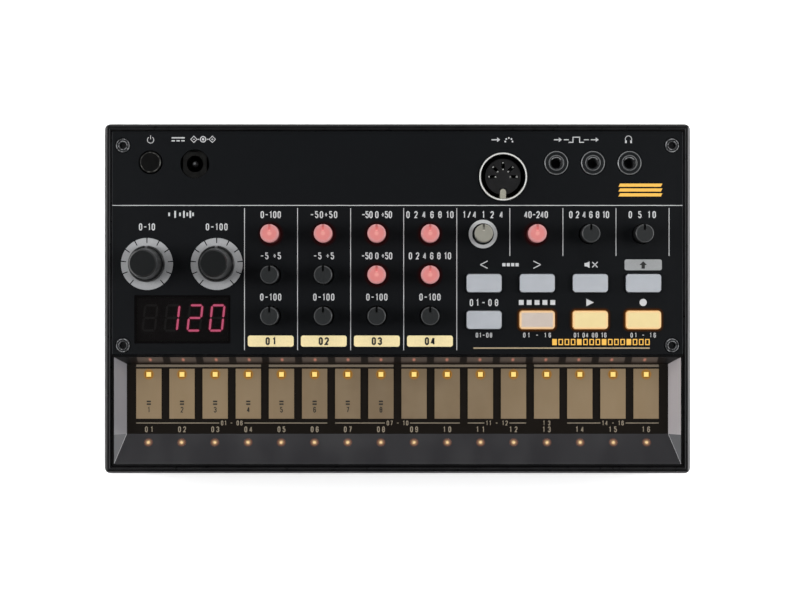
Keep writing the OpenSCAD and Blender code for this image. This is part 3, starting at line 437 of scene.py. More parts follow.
def socket_plastic(name):
    """Matt black, darker on the power inlet, with a metal sleeve down the bore of each small jack."""
    graph = finish(name, None, 0.45, grain=0.15, Specular_IOR_Level=0.2)
    x, _, z = graph.axes()
    on_inlet = x < low("power_inlet").x + 20
    face = graph.patches(60, 4.0, (23, 23, 24), (26, 26, 27))
    tone = on_inlet.mix(face, (8, 8, 7))
    sleeve = (x > low("jack_bodies").x) * (z < low("control_panel").z - 0.05)
    graph.set(Base_Color=sleeve.mix(tone, (150, 150, 152)))
    return graph


def button_black(name):
    """Satin black with a painted highlight, broken up in patches, round the power button's top edge."""
    graph = finish(name, None, 0.38, grain=0.15, Specular_IOR_Level=0.15)
    _, _, height = graph.axes("Generated")
    # painted highlight round the top edge, broken up in patches
    edge = radius_of(graph).band(0.70, 0.76, 0.02) * (height > 0.85)
    patchy_highlight = graph.noise(700, 3.0).remap(0.40, 0.62, 0.1, 1.0)
    graph.set(Base_Color=(edge * patchy_highlight).mix((8, 8, 8), (104, 104, 100)))
    return graph


def plated_metal(name):
    """Nickel: bright on the round socket's ring, painted dark as shade on its bore wall, beige on its tab.
    The inlet's pin is painted dark as shade, with a painted glint.
    """
    graph = metal(name, None, 0.3, plating=0.35)
    x, y, z = graph.axes()
    socket, inlet = middle("din_shell"), middle("power_inlet")
    radius = length(x - socket.x, y - socket.y)
    on_ring = (radius > 7.42) * (z > panel_z + 0.45)
    # painted shade on the wall of the socket's bore
    shaded_wall = (radius > 7.1) * (1.0 - on_ring)
    on_tab = (y < socket.y - 3.6) * (radius < 7.35)
    tone = shaded_wall.mix((244, 244, 240), (26, 26, 27))
    tone = on_tab.mix(tone, (184, 182, 168))
    # painted shade on the inlet's pin, with a painted glint near one side
    pin_x = low("socket_contacts").x + 1.0
    from_glint = length(x - (pin_x - 0.2), y - (inlet.y + 0.2))
    pin_tone = from_glint.fall(0.2, 0.6).mix((28, 28, 29), (104, 106, 108))
    tone = (x < 0.0).mix(tone, pin_tone)
    in_sockets = z > tray_z - 8
    graph.set(Base_Color=in_sockets.mix((226, 225, 220), tone))
    return graph


def radius_of(graph):
    """Distance from the node's own axis, as a share of half its width."""
    x, y, _ = graph.axes("Generated")
    return length(x - 0.5, y - 0.5) * 2.0


def slot_of(graph):
    """1 in the inner part of a knob's pointer slot, where painted light makes up for the shade on the slot's
    floor.
    """
    x, y, _ = graph.axes("Generated")
    return (abs(x - 0.5) < 0.047) * (y > 0.6) * y.remap(0.74, 0.80, 1.0, 0.35)


def knob_lit(name):
    """Translucent knob lit from inside: a light middle, a deeper pink ring round it and a dark foot."""
    graph = Graph(name)
    clouds = graph.noise(900, 3.0)
    radius = radius_of(graph) + (clouds - 0.5) * 0.14
    _, _, height = graph.axes("Generated")
    foot = height.fall(0.72, 0.975)
    skin = clouds.mix((0.36, 0.16, 0.155, 1), (0.42, 0.19, 0.185, 1))
    lamp = radius.rise(0.08, 0.26).mix((0.42, 0.15, 0.12, 1), (0.31, 0.05, 0.045, 1))
    lamp = radius.rise(0.48, 0.70).mix(lamp, (0.23, 0.10, 0.105, 1))
    # painted light in the pointer slot, making up for its shade
    lamp = slot_of(graph).mix(lamp, (0.54, 0.15, 0.14, 1))
    graph.set(Base_Color=foot.mix(skin, (0.10, 0.025, 0.025, 1)), Roughness=clouds.spread(0.35, 0.5))
    graph.glow(foot.mix(lamp, (0.035, 0.008, 0.008, 1)))
    graph.bump(graph.noise(2600, 2.0), 0.12)
    return graph


def knob_clear(name):
    """Cloudy clear plastic: beige grey on top and dark towards its foot."""
    graph = finish(name, None, 0.42, grain=0.2, blotch_scale=400)
    _, _, height = graph.axes("Generated")
    face = graph.patches(400, 4.0, (134, 132, 122), (148, 146, 136))
    graph.set(Base_Color=height.fall(0.90, 0.985).mix(face, (40, 39, 35)))
    # painted light in the pointer slot of this unlit knob, making up for its shade
    graph.glow(slot_of(graph).mix(BLACK, (0.15, 0.145, 0.125, 1)))
    return graph


def knob_black(name):
    """Semi-gloss black, darker on its flank than on its top, with a painted highlight as a thin lighter line
    round the top's edge.
    """
    graph = finish(name, None, 0.36, grain=0.12, blotch_scale=300)
    _, _, height = graph.axes("Generated")
    on_top = height > 0.93
    face = graph.patches(300, 4.0, (32, 34, 35), (36, 38, 39))
    tone = on_top.mix((20, 21, 22), face)
    # painted highlight round the top's edge
    edge = radius_of(graph).band(0.69, 0.74, 0.02) * on_top
    graph.set(Base_Color=edge.mix(tone, (62, 64, 66)))
    return graph


def dial_plastic(name):
    """Satin black with a smooth top face and two painted highlights as thin lines on its flank, at the top's
    edge and at the skirt's edge.
    """
    graph = finish(name, None, 0.3, blotch_scale=200, wear=0.02)
    _, _, height = graph.axes("Generated")
    # painted highlights at the top's edge and at the skirt's edge
    lines = most(height.band(0.90, 0.955, 0.015), height.band(0.24, 0.27, 0.02))
    flank = lines.mix((14, 15, 16), (58, 60, 62))
    face = graph.patches(160, 3.0, (17, 19, 20), (20, 22, 23))
    graph.set(Base_Color=(height > 0.985).mix(flank, face))
    return graph


def button_rubber(name, base, edge_base=None, edge_glow=None, body_glow=None):
    """Translucent silicone, lit from below where a colour for its edge is given."""
    graph = Graph(name)
    clouds = graph.noise(260, 3.0)
    tone = clouds.mix(scaled(base, 0.93), scaled(base, 1.05))
    if edge_base:
        x, y, _ = graph.axes("Generated")
        inside = least(BUTTON_W / 2 - abs(x - 0.5) * FLANGE_W, BUTTON_D / 2 - abs(y - 0.5) * FLANGE_D)
        edge = inside.fall(0.3, 0.9)
        tone = edge.mix(tone, edge_base)
        graph.glow(edge.mix(body_glow, edge_glow))
    graph.set(Base_Color=tone, Roughness=clouds.spread(0.45, 0.6),
              Subsurface_Weight=0.1, Subsurface_Radius=(0.6 * MM, 0.5 * MM, 0.4 * MM))
    graph.bump(graph.noise(3200, 2.0), 0.2)
    return graph


def kind(make, *values, **more):
    """A material of the table: the function that makes it, and what it is called with after the name."""
    return lambda name: make(name, *values, **more)


MATERIALS = {make.__name__: make for make in (
    case_plastic, panel_plastic, bezel_plastic, contact_print, lamp_yellow, board_green, screw_steel,
    collar_plastic, socket_plastic, button_black, plated_metal, knob_lit, knob_clear, knob_black,
    dial_plastic)}
MATERIALS.update({
    "tray_board": kind(finish, (16, 11, 6), 0.55, spread=0.08, grain=0.12, grain_scale=4200,
                       Specular_IOR_Level=0.12),
    "window": kind(finish, (17, 15, 15), 0.16, wear=0.03, spread=0.05, blotch_scale=120, Alpha=0.5),
    "display_black": kind(finish, (12, 12, 13), 0.55, grain=0.2),
    "display_lit": kind(finish, (12, 12, 13), 0.55, grain=0.2),
    "lamp_chip": kind(finish, (228, 222, 200), 0.3),
    "pot_plastic": kind(finish, (20, 24, 23), 0.5, grain=0.2),
    "rubber_mat": kind(finish, (140, 144, 149), 0.6, grain=0.2),
    "cell_wrap": kind(finish, (58, 104, 140), 0.3, blotch_scale=90, wear=0.04),
    "speaker_metal": kind(finish, (40, 41, 44), 0.4, grain=0.2),
    "cone_paper": kind(finish, (62, 58, 54), 0.85, spread=0.2, grain=0.6),
    "wire_red": kind(finish, (168, 40, 36), 0.45),
    "foot_rubber": kind(finish, (44, 44, 46), 0.8, grain=0.4),
    "pot_metal": kind(metal, (170, 172, 176), 0.32, brushed=(1, 8, 1)),
    "shaft_metal": kind(metal, (190, 191, 194), 0.25, brushed=(1, 1, 6)),
    "button_grey": kind(button_rubber, (176, 180, 186)),
    "button_amber": kind(button_rubber, (214, 200, 152), edge_base=(214, 192, 146),
                         edge_glow=(0.28, 0.12, 0.03, 1), body_glow=(0.18, 0.11, 0.03, 1)),
    "button_glow": kind(button_rubber, (197, 187, 178), edge_base=(204, 178, 142),
                        edge_glow=(0.27, 0.14, 0.05, 1), body_glow=(0.03, 0.01, 0.004, 1)),
})


def paint_nodes():
    """Gives each CAD node the material of its slot in the record."""
    made = {}
    for part in frame["record"]["subparts"]:
        slot = part["material_slot"]
        if slot not in made:
            made[slot] = MATERIALS[slot](slot).owner
        mesh = nodes[part["node"]].data
        mesh.materials.clear()
        mesh.materials.append(made[slot])


def soften_edges():
    """Small rounded edges on the moulded pieces."""
    widths = {"top_case": 0.12, "bottom_case": 0.35, "battery_cover": 0.2, "key_bezel": 0.12,
              "control_panel": 0.12}
    widths.update({name: 0.3 for name in UPPER_BUTTONS + LOWER_BUTTONS})
    for name, width in widths.items():
        bevel = nodes[name].modifiers.new("edges", "BEVEL")
        bevel.width = width * MM
        bevel.segments = 3
        bevel.limit_method = "ANGLE"
        bevel.angle_limit = math.radians(50)


# ---- new pieces ----

def placed(name, data):
    """A new object in the scene."""
    made = bpy.data.objects.new(name, data)
    bpy.context.scene.collection.objects.link(made)
    return made


def add_piece(name, shape, material):
    """A piece from a finished shape."""
    mesh = bpy.data.meshes.new(name)
    shape.to_mesh(mesh)
    shape.free()
    mesh.materials.append(material)
    made = placed(name, mesh)
    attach(made, CASE)
    return made


def arc(x, y, r, start, end):
    """Points of an arc, one about every eight degrees, angles in degrees from +X."""
    count = max(6, int(abs(end - start) / 8))
    angles = [math.radians(start + (end - start) * i / count) for i in range(count + 1)]
    return [(x + r * math.cos(a), y + r * math.sin(a)) for a in angles]


def circle(x, y, r):
    return arc(x, y, r, 0, 360)[:-1]


def rounded(x, y, w, d, r=0.0, lean=0.0):
    """Corners of a rectangle with round corners of radius r. lean slants it by that share of its height."""
    w, d = w / 2, d / 2
    if r <= 0:
        corners = [(w, d), (-w, d), (-w, -d), (w, -d)]
    else:
        corners = []
        for turn, (cx, cy) in enumerate([(w - r, d - r), (r - w, d - r), (r - w, r - d), (w - r, r - d)]):
            corners += arc(cx, cy, r, 90 * turn, 90 * turn + 90)
    return [(x + px + lean * py, y + py) for px, py in corners]


class Print:
    """Flat shapes printed on one level surface, gathered into one piece."""

    def __init__(self, z):
        self.z = z
        self.mesh = bmesh.new()

    def outline(self, points, holes=()):
        """A filled outline, with optional holes."""
        edges = []
        for loop in (points, *holes):
            corners = [self.mesh.verts.new(Vector((x, y, self.z)) * MM) for x, y in loop]
            edges += [self.mesh.edges.new((a, b)) for a, b in zip(corners, corners[1:] + corners[:1])]
        bmesh.ops.triangle_fill(self.mesh, edges=edges, use_beauty=True, normal=(0, 0, 1))

    def rect(self, x, y, w, d, r=0.0, lean=0.0):
        self.outline(rounded(x, y, w, d, r, lean))

    def frame(self, x, y, w, d, line):
        self.outline(rounded(x, y, w, d), [rounded(x, y, w - 2 * line, d - 2 * line)])

    def disc(self, x, y, r):
        self.outline(circle(x, y, r))

    def ring(self, x, y, outer, inner, start=0, end=360):
        if end - start >= 360:
            self.outline(circle(x, y, outer), [circle(x, y, inner)])
        else:
            self.outline(arc(x, y, outer, start, end) + arc(x, y, inner, end, start))

    def stroke(self, points, line):
        """A line of even width along the points. It is closed where the last point repeats the first."""
        closed = points[0] == points[-1]
        spine = [Vector(point) for point in (points[:-1] if closed else points)]
        legs = [(b - a).normalized() for a, b in zip(spine, spine[1:] + spine[:1])]
        left, right = [], []
        for i, point in enumerate(spine):
            before = legs[i - 1] if closed or i > 0 else legs[i]
            after = legs[i] if closed or i < len(spine) - 1 else legs[i - 1]
            along = (before + after).normalized()
            across = Vector((-along.y, along.x)) * line / 2 / max(along.dot(after), 0.5)
            left.append(point + across)
            right.append(point - across)
        if closed:
            self.outline(left, [right])
        else:
            self.outline(left + right[::-1])

    def text(self, body, x, y, height, width=None, weight=1.0):
        """Plain condensed digits and signs of the given height, spaced out to the width if one is given."""
        line, gap = GLYPH_LINE * height * weight, GLYPH_GAP * height
        widths = [GLYPH_W * height * GLYPH_SHARE.get(sign, 1.0) for sign in body]
        free = len(body) - 1
        total = sum(widths) + free * gap
        if width:
            gap += (width - line - total) / free
            total = width - line
        left, foot = x - total / 2, y - (height - line) / 2
        for sign, wide in zip(body, widths):
            for points in GLYPHS[sign]:
                self.stroke([(left + px * wide, foot + py * (height - line)) for px, py in points], line)
            left += wide + gap

    def piece(self, name, material, slot=None):
        """The finished piece: a thin solid layer on the surface."""
        tops = list(self.mesh.faces)
        bmesh.ops.recalc_face_normals(self.mesh, faces=tops)
        for face in tops:
            if face.normal.z < 0:
                face.normal_flip()
        grown = bmesh.ops.extrude_face_region(self.mesh, geom=tops)
        raised = [v for v in grown["geom"] if isinstance(v, bmesh.types.BMVert)]
        bmesh.ops.translate(self.mesh, verts=raised, vec=(0, 0, PRINT_T * MM))
        return add_piece(name, self.mesh, material)


# Lettering: centre lines in a cell one wide and one tall, then widths as shares of the letters' height
ROUND = [(0.3, 0), (0.7, 0), (1, 0.16), (1, 0.84), (0.7, 1), (0.3, 1), (0, 0.84), (0, 0.16), (0.3, 0)]
SIX = [[(1, 0.76), (1, 0.85), (0.7, 1), (0.3, 1), (0, 0.84), (0, 0.16), (0.3, 0), (0.7, 0), (1, 0.16),
        (1, 0.56)], [(0, 0.56), (1, 0.56)]]
GLYPHS = {
    " ": [],
    "0": [ROUND],
    "1": [[(0.0, 0.8), (0.7, 1), (0.7, 0)]],
    "2": [[(0, 0.76), (0, 0.86), (0.3, 1), (0.7, 1), (1, 0.86), (1, 0.62), (0, 0), (1, 0)]],
    "3": [[(0, 0.78), (0, 0.86), (0.3, 1), (0.7, 1), (1, 0.86), (1, 0.66), (0.72, 0.53), (1, 0.4), (1, 0.16),
           (0.7, 0), (0.3, 0), (0, 0.16), (0, 0.22)], [(0.35, 0.53), (0.75, 0.53)]],
    "4": [[(0.74, 0), (0.74, 1)], [(0.66, 0.98), (0, 0.27), (1.05, 0.27)]],
    "5": [[(0.95, 1), (0.05, 1), (0.05, 0.58)],
          [(0.05, 0.58), (0.7, 0.6), (1, 0.46), (1, 0.16), (0.7, 0), (0.3, 0), (0, 0.16), (0, 0.24)]],
    "6": SIX,
    "7": [[(0, 1), (1, 1), (0.4, 0)]],
    "8": [ROUND, [(0, 0.52), (1, 0.52)]],
    "9": [[(1 - x, 1 - y) for x, y in line] for line in SIX],
    "-": [[(0, 0.5), (1, 0.5)]],
    "+": [[(0, 0.5), (1, 0.5)], [(0.5, 0.22), (0.5, 0.78)]],
    "/": [[(0, 0), (1, 1)]],
}
GLYPH_W, GLYPH_LINE, GLYPH_GAP = 0.33, 0.15, 0.28
GLYPH_SHARE = {"1": 0.6, " ": 0.3}


# ---- printed marks ----

def ink(name, base, roughness=0.5):
    """Printing ink: a little uneven, with slightly broken cover."""
    graph = Graph(name)
    cover = graph.noise(1800, 4.0)
    graph.set(Base_Color=cover.rise(0.35, 0.6).mix(scaled(base, 0.94), base),
              Roughness=cover.spread(roughness - 0.08, roughness + 0.08))
    return graph.owner


white = ink("white_ink", (203, 204, 206))
silver = ink("silver_ink", (168, 169, 171), 0.45)
dark = ink("dark_ink", (20, 19, 16))


def column_lines():
    """The long line across the panel and the lines between the columns of knobs."""
    marks = Print(panel_z)
    line, edge = 0.23, 0.15
    long_line_y, top_y = 30.85, 29.95
    voice_foot_y, right_foot_y = panel_front + 1.4, 14.15
    marks.rect((panel_left + panel_right) / 2, long_line_y, panel_right - panel_left - 2 * edge, line)
    for i in range(9):
        x = voice_xs[0] + (i - 0.5) * column_pitch + 0.1
        foot_y = voice_foot_y if i < 5 else right_foot_y
        marks.rect(x, (top_y + foot_y) / 2, line, top_y - foot_y)
    marks.piece("column_lines", white)


def dial_scale(name, node):
    """The silver ring printed round a large dial, open where its eleven ticks are."""
    outer, inner, tick_l, tick_w = 8.6, 5.0, 1.7, 0.38
    travel, ticks = 280, 11
    centre = middle(node)
    marks = Print(panel_z)
    marks.ring(centre.x, centre.y, outer - tick_l, inner)
    half = math.degrees(math.asin(tick_w / 2 / outer))
    angles = [90 + travel / 2 - travel / (ticks - 1) * i for i in range(ticks)]
    for a, b in zip(angles, angles[1:]):
        marks.ring(centre.x, centre.y, outer, outer - tick_l, b + half, a - half)
    marks.ring(centre.x, centre.y, outer, outer - tick_l, angles[0] + half - 360, angles[-1] - half)
    marks.piece(name, silver)


def sample_ring():
    centre = middle("sample_knob")
    marks = Print(panel_z)
    marks.ring(centre.x, centre.y, 4.72, 3.55)
    marks.piece("sample_ring", ink("sample_ring_ink", (186, 187, 188), 0.45))


def number_marks():
    """Plain numbers above and below the knobs and buttons, each a text and its width."""
    marks = Print(panel_z)
    tall, small = 2.3, 1.6
    above_knob, closer = 6.4, 0.1    # each lower row of numbers stands a little closer to its knobs
    above_button, below_button, dial_label_y = 5.7, 5.05, 23.75
    top_y, mid_y, low_y = [y + above_knob - i * closer for i, y in enumerate(row_ys)]
    rows = [
        (top_y, tall, voice_xs + right_xs, [
            ("0-100", 6.7), ("-50+50", 8.9), ("-50 0 +50", 10.0), ("0 2 4 6 8 10", 15.6),
            ("1/4 1 2 4", 13.2), ("40-240", 7.8), ("0 2 4 6 8 10", 13.2), ("0 5 10", 9.0)]),
        (mid_y, tall, voice_xs, [
            ("-5 +5", 6.8), ("-5 +5", 6.8), ("-50 0 +50", 10.2), ("0 2 4 6 8 10", 14.0)]),
        (low_y, tall, voice_xs, [("0-100", 7.0)] * 4),
        (dial_label_y, tall, dial_xs, [("0-10", 5.3), ("0-100", 7.2)]),
        (lower_y + above_button, tall, button_xs[:1], [("01-08", 9.4)]),
        (lower_y - below_button, small, button_xs, [
            ("01-08", 5.4), ("01 - 16", 9.2), ("01 04 08 16", 10.8), ("01 - 16", 8.4)]),
    ]
    for y, height, xs, labels in rows:
        for x, (body, width) in zip(xs, labels):
            marks.text(body, x, y, height, width)
    marks.piece("number_marks", white)


def symbol_marks():
    """Generic signs: power, polarity, pulses, arrows, headphones, play and record."""
    marks = Print(panel_z)
    line, thin = 0.3, 0.2
    power_y, polarity_y, sockets_y, headphones_y = 52.6, 52.7, 52.55, 52.75
    polarity_x, headphones_x, heading_y = -67.3, 76.35, 27.9
    power_sign(marks, middle("power_button").x, power_y, thin)
    polarity_sign(marks, polarity_x, polarity_y, thin)
    socket_signs(marks, sockets_y, line)
    headphones_sign(marks, headphones_x, headphones_y, thin)
    pulses_sign(marks, sum(dial_xs) / 2, heading_y)
    # two arrow heads, four small squares and a crossed loudspeaker above the upper buttons
    label_y = upper_y + 6.1
    for x, way in zip(button_xs, (-1, 1)):
        chevron(marks, x, label_y, way * 1.2, line)
    squares(marks, (button_xs[0] + button_xs[1]) / 2, label_y, 4, 1.05, 1.45)
    mute_sign(marks, button_xs[2], label_y, line)
    # five squares, a triangle and a dot above the lower buttons
    label_y, half = lower_y + 5.75, 1.25
    squares(marks, button_xs[1], label_y, 5, 1.6, 2.6)
    play_x = button_xs[2]
    back = play_x - half
    marks.outline([(back, label_y + half), (back, label_y - half), (play_x + half, label_y)])
    marks.disc(button_xs[3], label_y, 1.2)
    marks.piece("symbol_marks", white)


def power_sign(marks, x, y, line):
    r = 1.15
    marks.ring(x, y - 0.1, r, r - line, 125, 415)
    marks.rect(x, y + 0.75, line, 1.3)


def polarity_sign(marks, x, y, line):
    """Direct current: a bar over three dashes, then a minus, a ringed dot and a plus joined by lines."""
    bar_x, bar_t, lift = x - 5.2, 0.4, 0.5
    marks.rect(bar_x, y + lift, 4.4, bar_t)
    for i in (-1, 0, 1):
        marks.rect(bar_x + i * 1.6, y - lift, 1.1, bar_t)
    step, r, thin = 3.05, 1.2, 0.2
    for cx in (x, x + 2 * step):
        diamonds = [[(cx - size, y), (cx, y - size), (cx + size, y), (cx, y + size)]
                    for size in (r, r - line * 1.4)]
        marks.outline(diamonds[0], diamonds[1:])
        marks.rect(cx, y, 0.7, thin)
    for side in (1, -1):
        marks.rect(x + 2 * step, y + side * 0.22, thin, 0.24)
    marks.ring(x + step, y, 1.05, 0.75)
    marks.disc(x + step, y, 0.4)
    for i in (0.5, 1.5):
        marks.rect(x + i * step, y, step - 2 * r - 0.1, 0.25)


def arrow(marks, x, y, long, line):
    """A small arrow that points to +X."""
    tip, head, back = x + long / 2, 0.75, 0.6
    marks.rect(x - back / 2, y, long - back, line)
    marks.outline([(tip, y), (tip - head * 1.3, y + head), (tip - head * 1.3, y - head)])


def chevron(marks, x, y, size, line):
    """An arrow head that points to +X or, for a negative size, to -X."""
    for side in (1, -1):
        marks.stroke([(x - size, y + side * abs(size)), (x + size, y)], line)


def pulse(marks, x, y, line):
    """A square pulse drawn as one line."""
    wide, tall = 4.4, 1.0
    marks.rect(x, y + tall - line / 2, wide / 2, line)
    for side in (-1, 1):
        marks.rect(x + side * wide / 4, y, line, 2 * tall)
        marks.rect(x + side * wide * 0.42, y - tall + line / 2, wide * 0.32, line)


def socket_signs(marks, y, line):
    """An arrow into five dots over the round socket, and a pulse between two arrows over the small ones."""
    x, spread = middle("din_shell").x, 1.2
    arrow(marks, x - 2.4, y, 2.8, line)
    for i in range(5):
        angle = math.radians(180 * i / 4)
        marks.disc(x + 1.9 + spread * math.cos(angle), y - 0.6 + spread * math.sin(angle), 0.28)
    arrow_xs = 53.0, 65.2
    for x in arrow_xs:
        arrow(marks, x, y, 2.6, line)
    mid = sum(arrow_xs) / 2
    pulse(marks, mid, y, line)
    for side in (-1, 1):
        marks.rect(mid + side * 3.3, y, 1.6, line)


def headphones_sign(marks, x, y, line):
    """A round band, open below, with a cup at each end."""
    r = 1.15
    marks.ring(x, y, r, r - line, -35, 215)
    for side in (-1, 1):
        marks.rect(x + side * 0.85, y - 0.85, 0.55, 0.9)


def pulses_sign(marks, x, y):
    """Short and tall bars that draw closer together, as the heading over the two dials."""
    bar_w, bar_h = 0.55, 2.3
    for i, offset in enumerate((-4.2, -2.2, -0.6, 0.7, 1.8, 2.8, 3.7)):
        marks.rect(x + offset, y, bar_w, bar_h * (0.5 + 0.5 * (i % 2)))


def squares(marks, x, y, count, size, step):
    for i in range(count):
        marks.rect(x + (i - (count - 1) / 2) * step, y, size, size)


def mute_sign(marks, x, y, line):
    """A small loudspeaker with a cross beside it."""
    s, cx = 0.55, x - 1.3
    marks.outline([(cx - s, y - s), (cx, y - s), (cx + 2 * s, y - 2 * s), (cx + 2 * s, y + 2 * s),
                   (cx, y + s), (cx - s, y + s)])
    for rise in (0.9, -0.9):
        marks.stroke([(x + 0.7, y - rise), (x + 2.5, y + rise)], line)


def voice_tags():
    """The cream name plates under the four columns, each with a plain number."""
    plates, numbers = Print(panel_z), Print(panel_z + PRINT_T)
    tag_y = panel_front + 4.4
    for i, x in enumerate(voice_xs):
        plates.rect(x, tag_y, 15.15, 3.7, 0.8)
        numbers.text(f"0{i + 1}", x, tag_y, 2.6, 3.4, weight=1.4)
    plates.piece("voice_tags", ink("cream_ink", (248, 230, 176)))
    numbers.piece("voice_numbers", dark)


def shift_tag():
    """The grey plate over the last button, with a plain arrow."""
    plate, sign = Print(panel_z), Print(panel_z + PRINT_T)
    x, y = button_xs[3], upper_y + 6.05
    plate.rect(x, y, 12.3, 3.6, 0.7)
    head = 1.25
    sign.outline([(x - head, y - 0.05), (x + head, y - 0.05), (x, y + 1.2)])
    sign.rect(x, y - 0.65, 1.1, 1.2)
    plate.piece("shift_tag", ink("grey_ink", (157, 159, 160)))
    sign.piece("shift_arrow", dark)


def gold_marks():
    """The gold line under the buttons, a row of sixteen steps above it and three slanted stripes."""
    line, marks = Print(panel_z), Print(panel_z)
    line_y, left, right = panel_front + 2.1, 25.1, 83.4
    line.rect((left + right) / 2, line_y, right - left, 0.42)
    line.piece("gold_line", ink("gold_line_ink", (176, 158, 128)))
    step_w, row_y, row_left, row_right = 1.5, line_y + 2.0, 51.9, 82.6
    step_d = step_w * 1.35
    for i in range(16):
        x = row_left + i * (row_right - row_left) / 15
        if i % 4 == 0:
            marks.rect(x, row_y, step_w, step_d)
        else:
            marks.frame(x, row_y, step_w, step_d, 0.32)
    stripe_x, stripe_y = 80.3, 35.95
    for i in (-1, 0, 1):
        marks.rect(stripe_x, stripe_y + i * 1.6, 14.0, 1.05, lean=0.5)
    marks.piece("gold_marks", ink("gold_ink", (255, 196, 84)))


def key_legends():
    """Numbers on and below the touch keys, with brackets that join them into groups."""
    legends, on_keys = Print(tray_z), Print(pad_z)
    number_y, bracket_y = key_front - 3.55, key_front - 1.45
    tall, small, gap = 1.9, 1.6, 4.2
    for i, x in enumerate(key_xs):
        legends.text(f"{i + 1:02d}", x, number_y, tall, 2.6)
    for first, last in ((1, 6), (7, 10), (11, 12), (14, 16)):
        left = key_xs[first - 1] - KEY_W / 2
        right = key_xs[last - 1] + KEY_W / 2
        mid = (left + right) / 2
        legends.text(f"{first:02d} - {last:02d}", mid, bracket_y, small, 2 * gap - 1.2)
        for a, b in ((left, mid - gap), (mid + gap, right)):
            legends.rect((a + b) / 2, bracket_y, b - a, 0.25)
    legends.text("13", key_xs[12], bracket_y, small, 2.4)
    legends.piece("key_legends", ink("beige_ink", (150, 138, 120)))
    for i, x in enumerate(key_xs[:8]):
        on_keys.text(str(i + 1), x, key_front + 3.0, tall)
        for dash_y in (4.85, 5.75):
            on_keys.rect(x, key_front + dash_y, 1.4, 0.5)
    on_keys.piece("key_numbers", dark)


# ---- lamps ----

def nearness(graph):
    """What a fading piece says of each point: 1 beside its lamp and 0 at the piece's outer edge."""
    return graph.value("Attribute", output="Fac", settings={"attribute_name": "nearness"})


def glow_material(name, hue, strength, fade):
    """Light that spreads over a surface round a lamp and fades out towards the edge of its piece."""
    graph = Graph(name)
    graph.set(Base_Color=BLACK, Roughness=0.8, Specular_IOR_Level=0.0,
              Alpha=graph.math("POWER", nearness(graph), fade))
    graph.glow(graph.patches(1600, 2.0, scaled(hue, 0.9), hue), strength)
    return graph.owner


def fading_piece(name, places, outline, steps, material, filled=False):
    """Rings of corners round each place, whose nearness falls in steps to 0 at the last ring.

    outline(place, share) gives the corners of the ring at that share of the way out. A filled piece has
    its first ring one step out, closed by a face.
    """
    shape, shares = bmesh.new(), []
    for place in places:
        loops = []
        for i in range(1 if filled else 0, steps + 1):
            loops.append([shape.verts.new(Vector(corner) * MM) for corner in outline(place, i / steps)])
            shares += [1 - i / steps] * len(loops[-1])
        if filled:
            shape.faces.new(loops[0])
        for near, far in zip(loops, loops[1:]):
            for k in range(len(near)):
                shape.faces.new((near[k], far[k], far[k - 1], near[k - 1]))
    bmesh.ops.recalc_face_normals(shape, faces=shape.faces)
    made = add_piece(name, shape, material)
    made.data.attributes.new("nearness", "FLOAT", "POINT").data.foreach_set("value", shares)


def glow_rings(name, places, inner, outer, material, lift=GLOW_LIFT):
    """Flat rings of light round the places, each an x, y and z."""
    def outline(place, share):
        x, y, z = place
        return [(px, py, z + lift) for px, py in circle(x, y, inner + (outer - inner) * share)]
    fading_piece(name, places, outline, 5, material)


def step_glow():
    """A painted ring of shade round each step light, tinted by its light, and the warm spot that the light
    throws on its key.
    """
    # painted shade round each step light, tinted by its light
    step_light_shade = Print(pad_z)
    for x in key_xs:
        step_light_shade.frame(x, light_y, LIGHT_W + 0.6, LIGHT_W + 0.6, 0.3)
    step_light_shade.piece("light_frames", ink("frame_ink", (118, 81, 18)))
    spot = glow_material("step_glow", (0.85, 0.38, 0.04, 1), 0.55, fade=2.0)
    glow_rings("step_glow", [(x, light_y, pad_z) for x in key_xs], LIGHT_W * 0.72, 2.1, spot,
               lift=PRINT_T + GLOW_LIFT)


def nodes_with(*slots):
    return [part["node"] for part in frame["record"]["subparts"] if part["material_slot"] in slots]


def knob_halos():
    """The red light that escapes through the gap round each lit knob."""
    places = [(middle(node).x, middle(node).y, panel_z) for node in nodes_with("knob_lit")]
    halo = glow_material("knob_halo", (0.30, 0.05, 0.055, 1), 0.07, fade=1.4)
    glow_rings("knob_halos", places, 3.3, 4.6, halo)


def button_halos():
    """The orange light that escapes through the gaps round the lit buttons."""
    gap, reach, corner_r = 0.25, 0.9, 1.0

    def outline(node, share):
        centre, out = middle(node), gap + reach * share
        points = rounded(centre.x, centre.y, BUTTON_W + 2 * out, BUTTON_D + 2 * out, corner_r + out)
        return [(x, y, panel_z + GLOW_LIFT) for x, y in points]

    halo = glow_material("button_halo", (0.60, 0.20, 0.04, 1), 0.13, fade=1.3)
    fading_piece("button_halos", nodes_with("button_amber", "button_glow"), outline, 4, halo)


def slope_lights():
    """Sixteen small round painted glints of the step lights, seen in the front slope, one under each key."""
    up_slope, glint_r = 2.75, 1.7
    y, z = tray_front - up_slope, tray_z + up_slope * front_rise + GLOW_LIFT
    lean = Matrix.Rotation(-math.atan(front_rise), 4, "X")

    def outline(x, share):
        place = Matrix.Translation((x, y, z)) @ lean
        return [place @ Vector((px, py, 0)) for px, py in circle(0, 0, glint_r * share)]

    # painted glints: a glowing core with a warm fading rim
    graph = Graph("slope_lamp")
    near = nearness(graph)
    uneven = near + (graph.noise(1400) - 0.5) * 0.25
    body = uneven.rise(0.36, 0.66).mix((0.12, 0.045, 0.02, 1), (0.27, 0.16, 0.06, 1))
    graph.set(Base_Color=(0.03, 0.02, 0.02, 1), Roughness=0.25, Alpha=near.rise(0.0, 0.4))
    graph.glow(uneven.rise(0.58, 0.88).mix(body, (0.94, 0.66, 0.31, 1)))
    fading_piece("slope_lights", key_xs, outline, 6, graph.owner, filled=True)


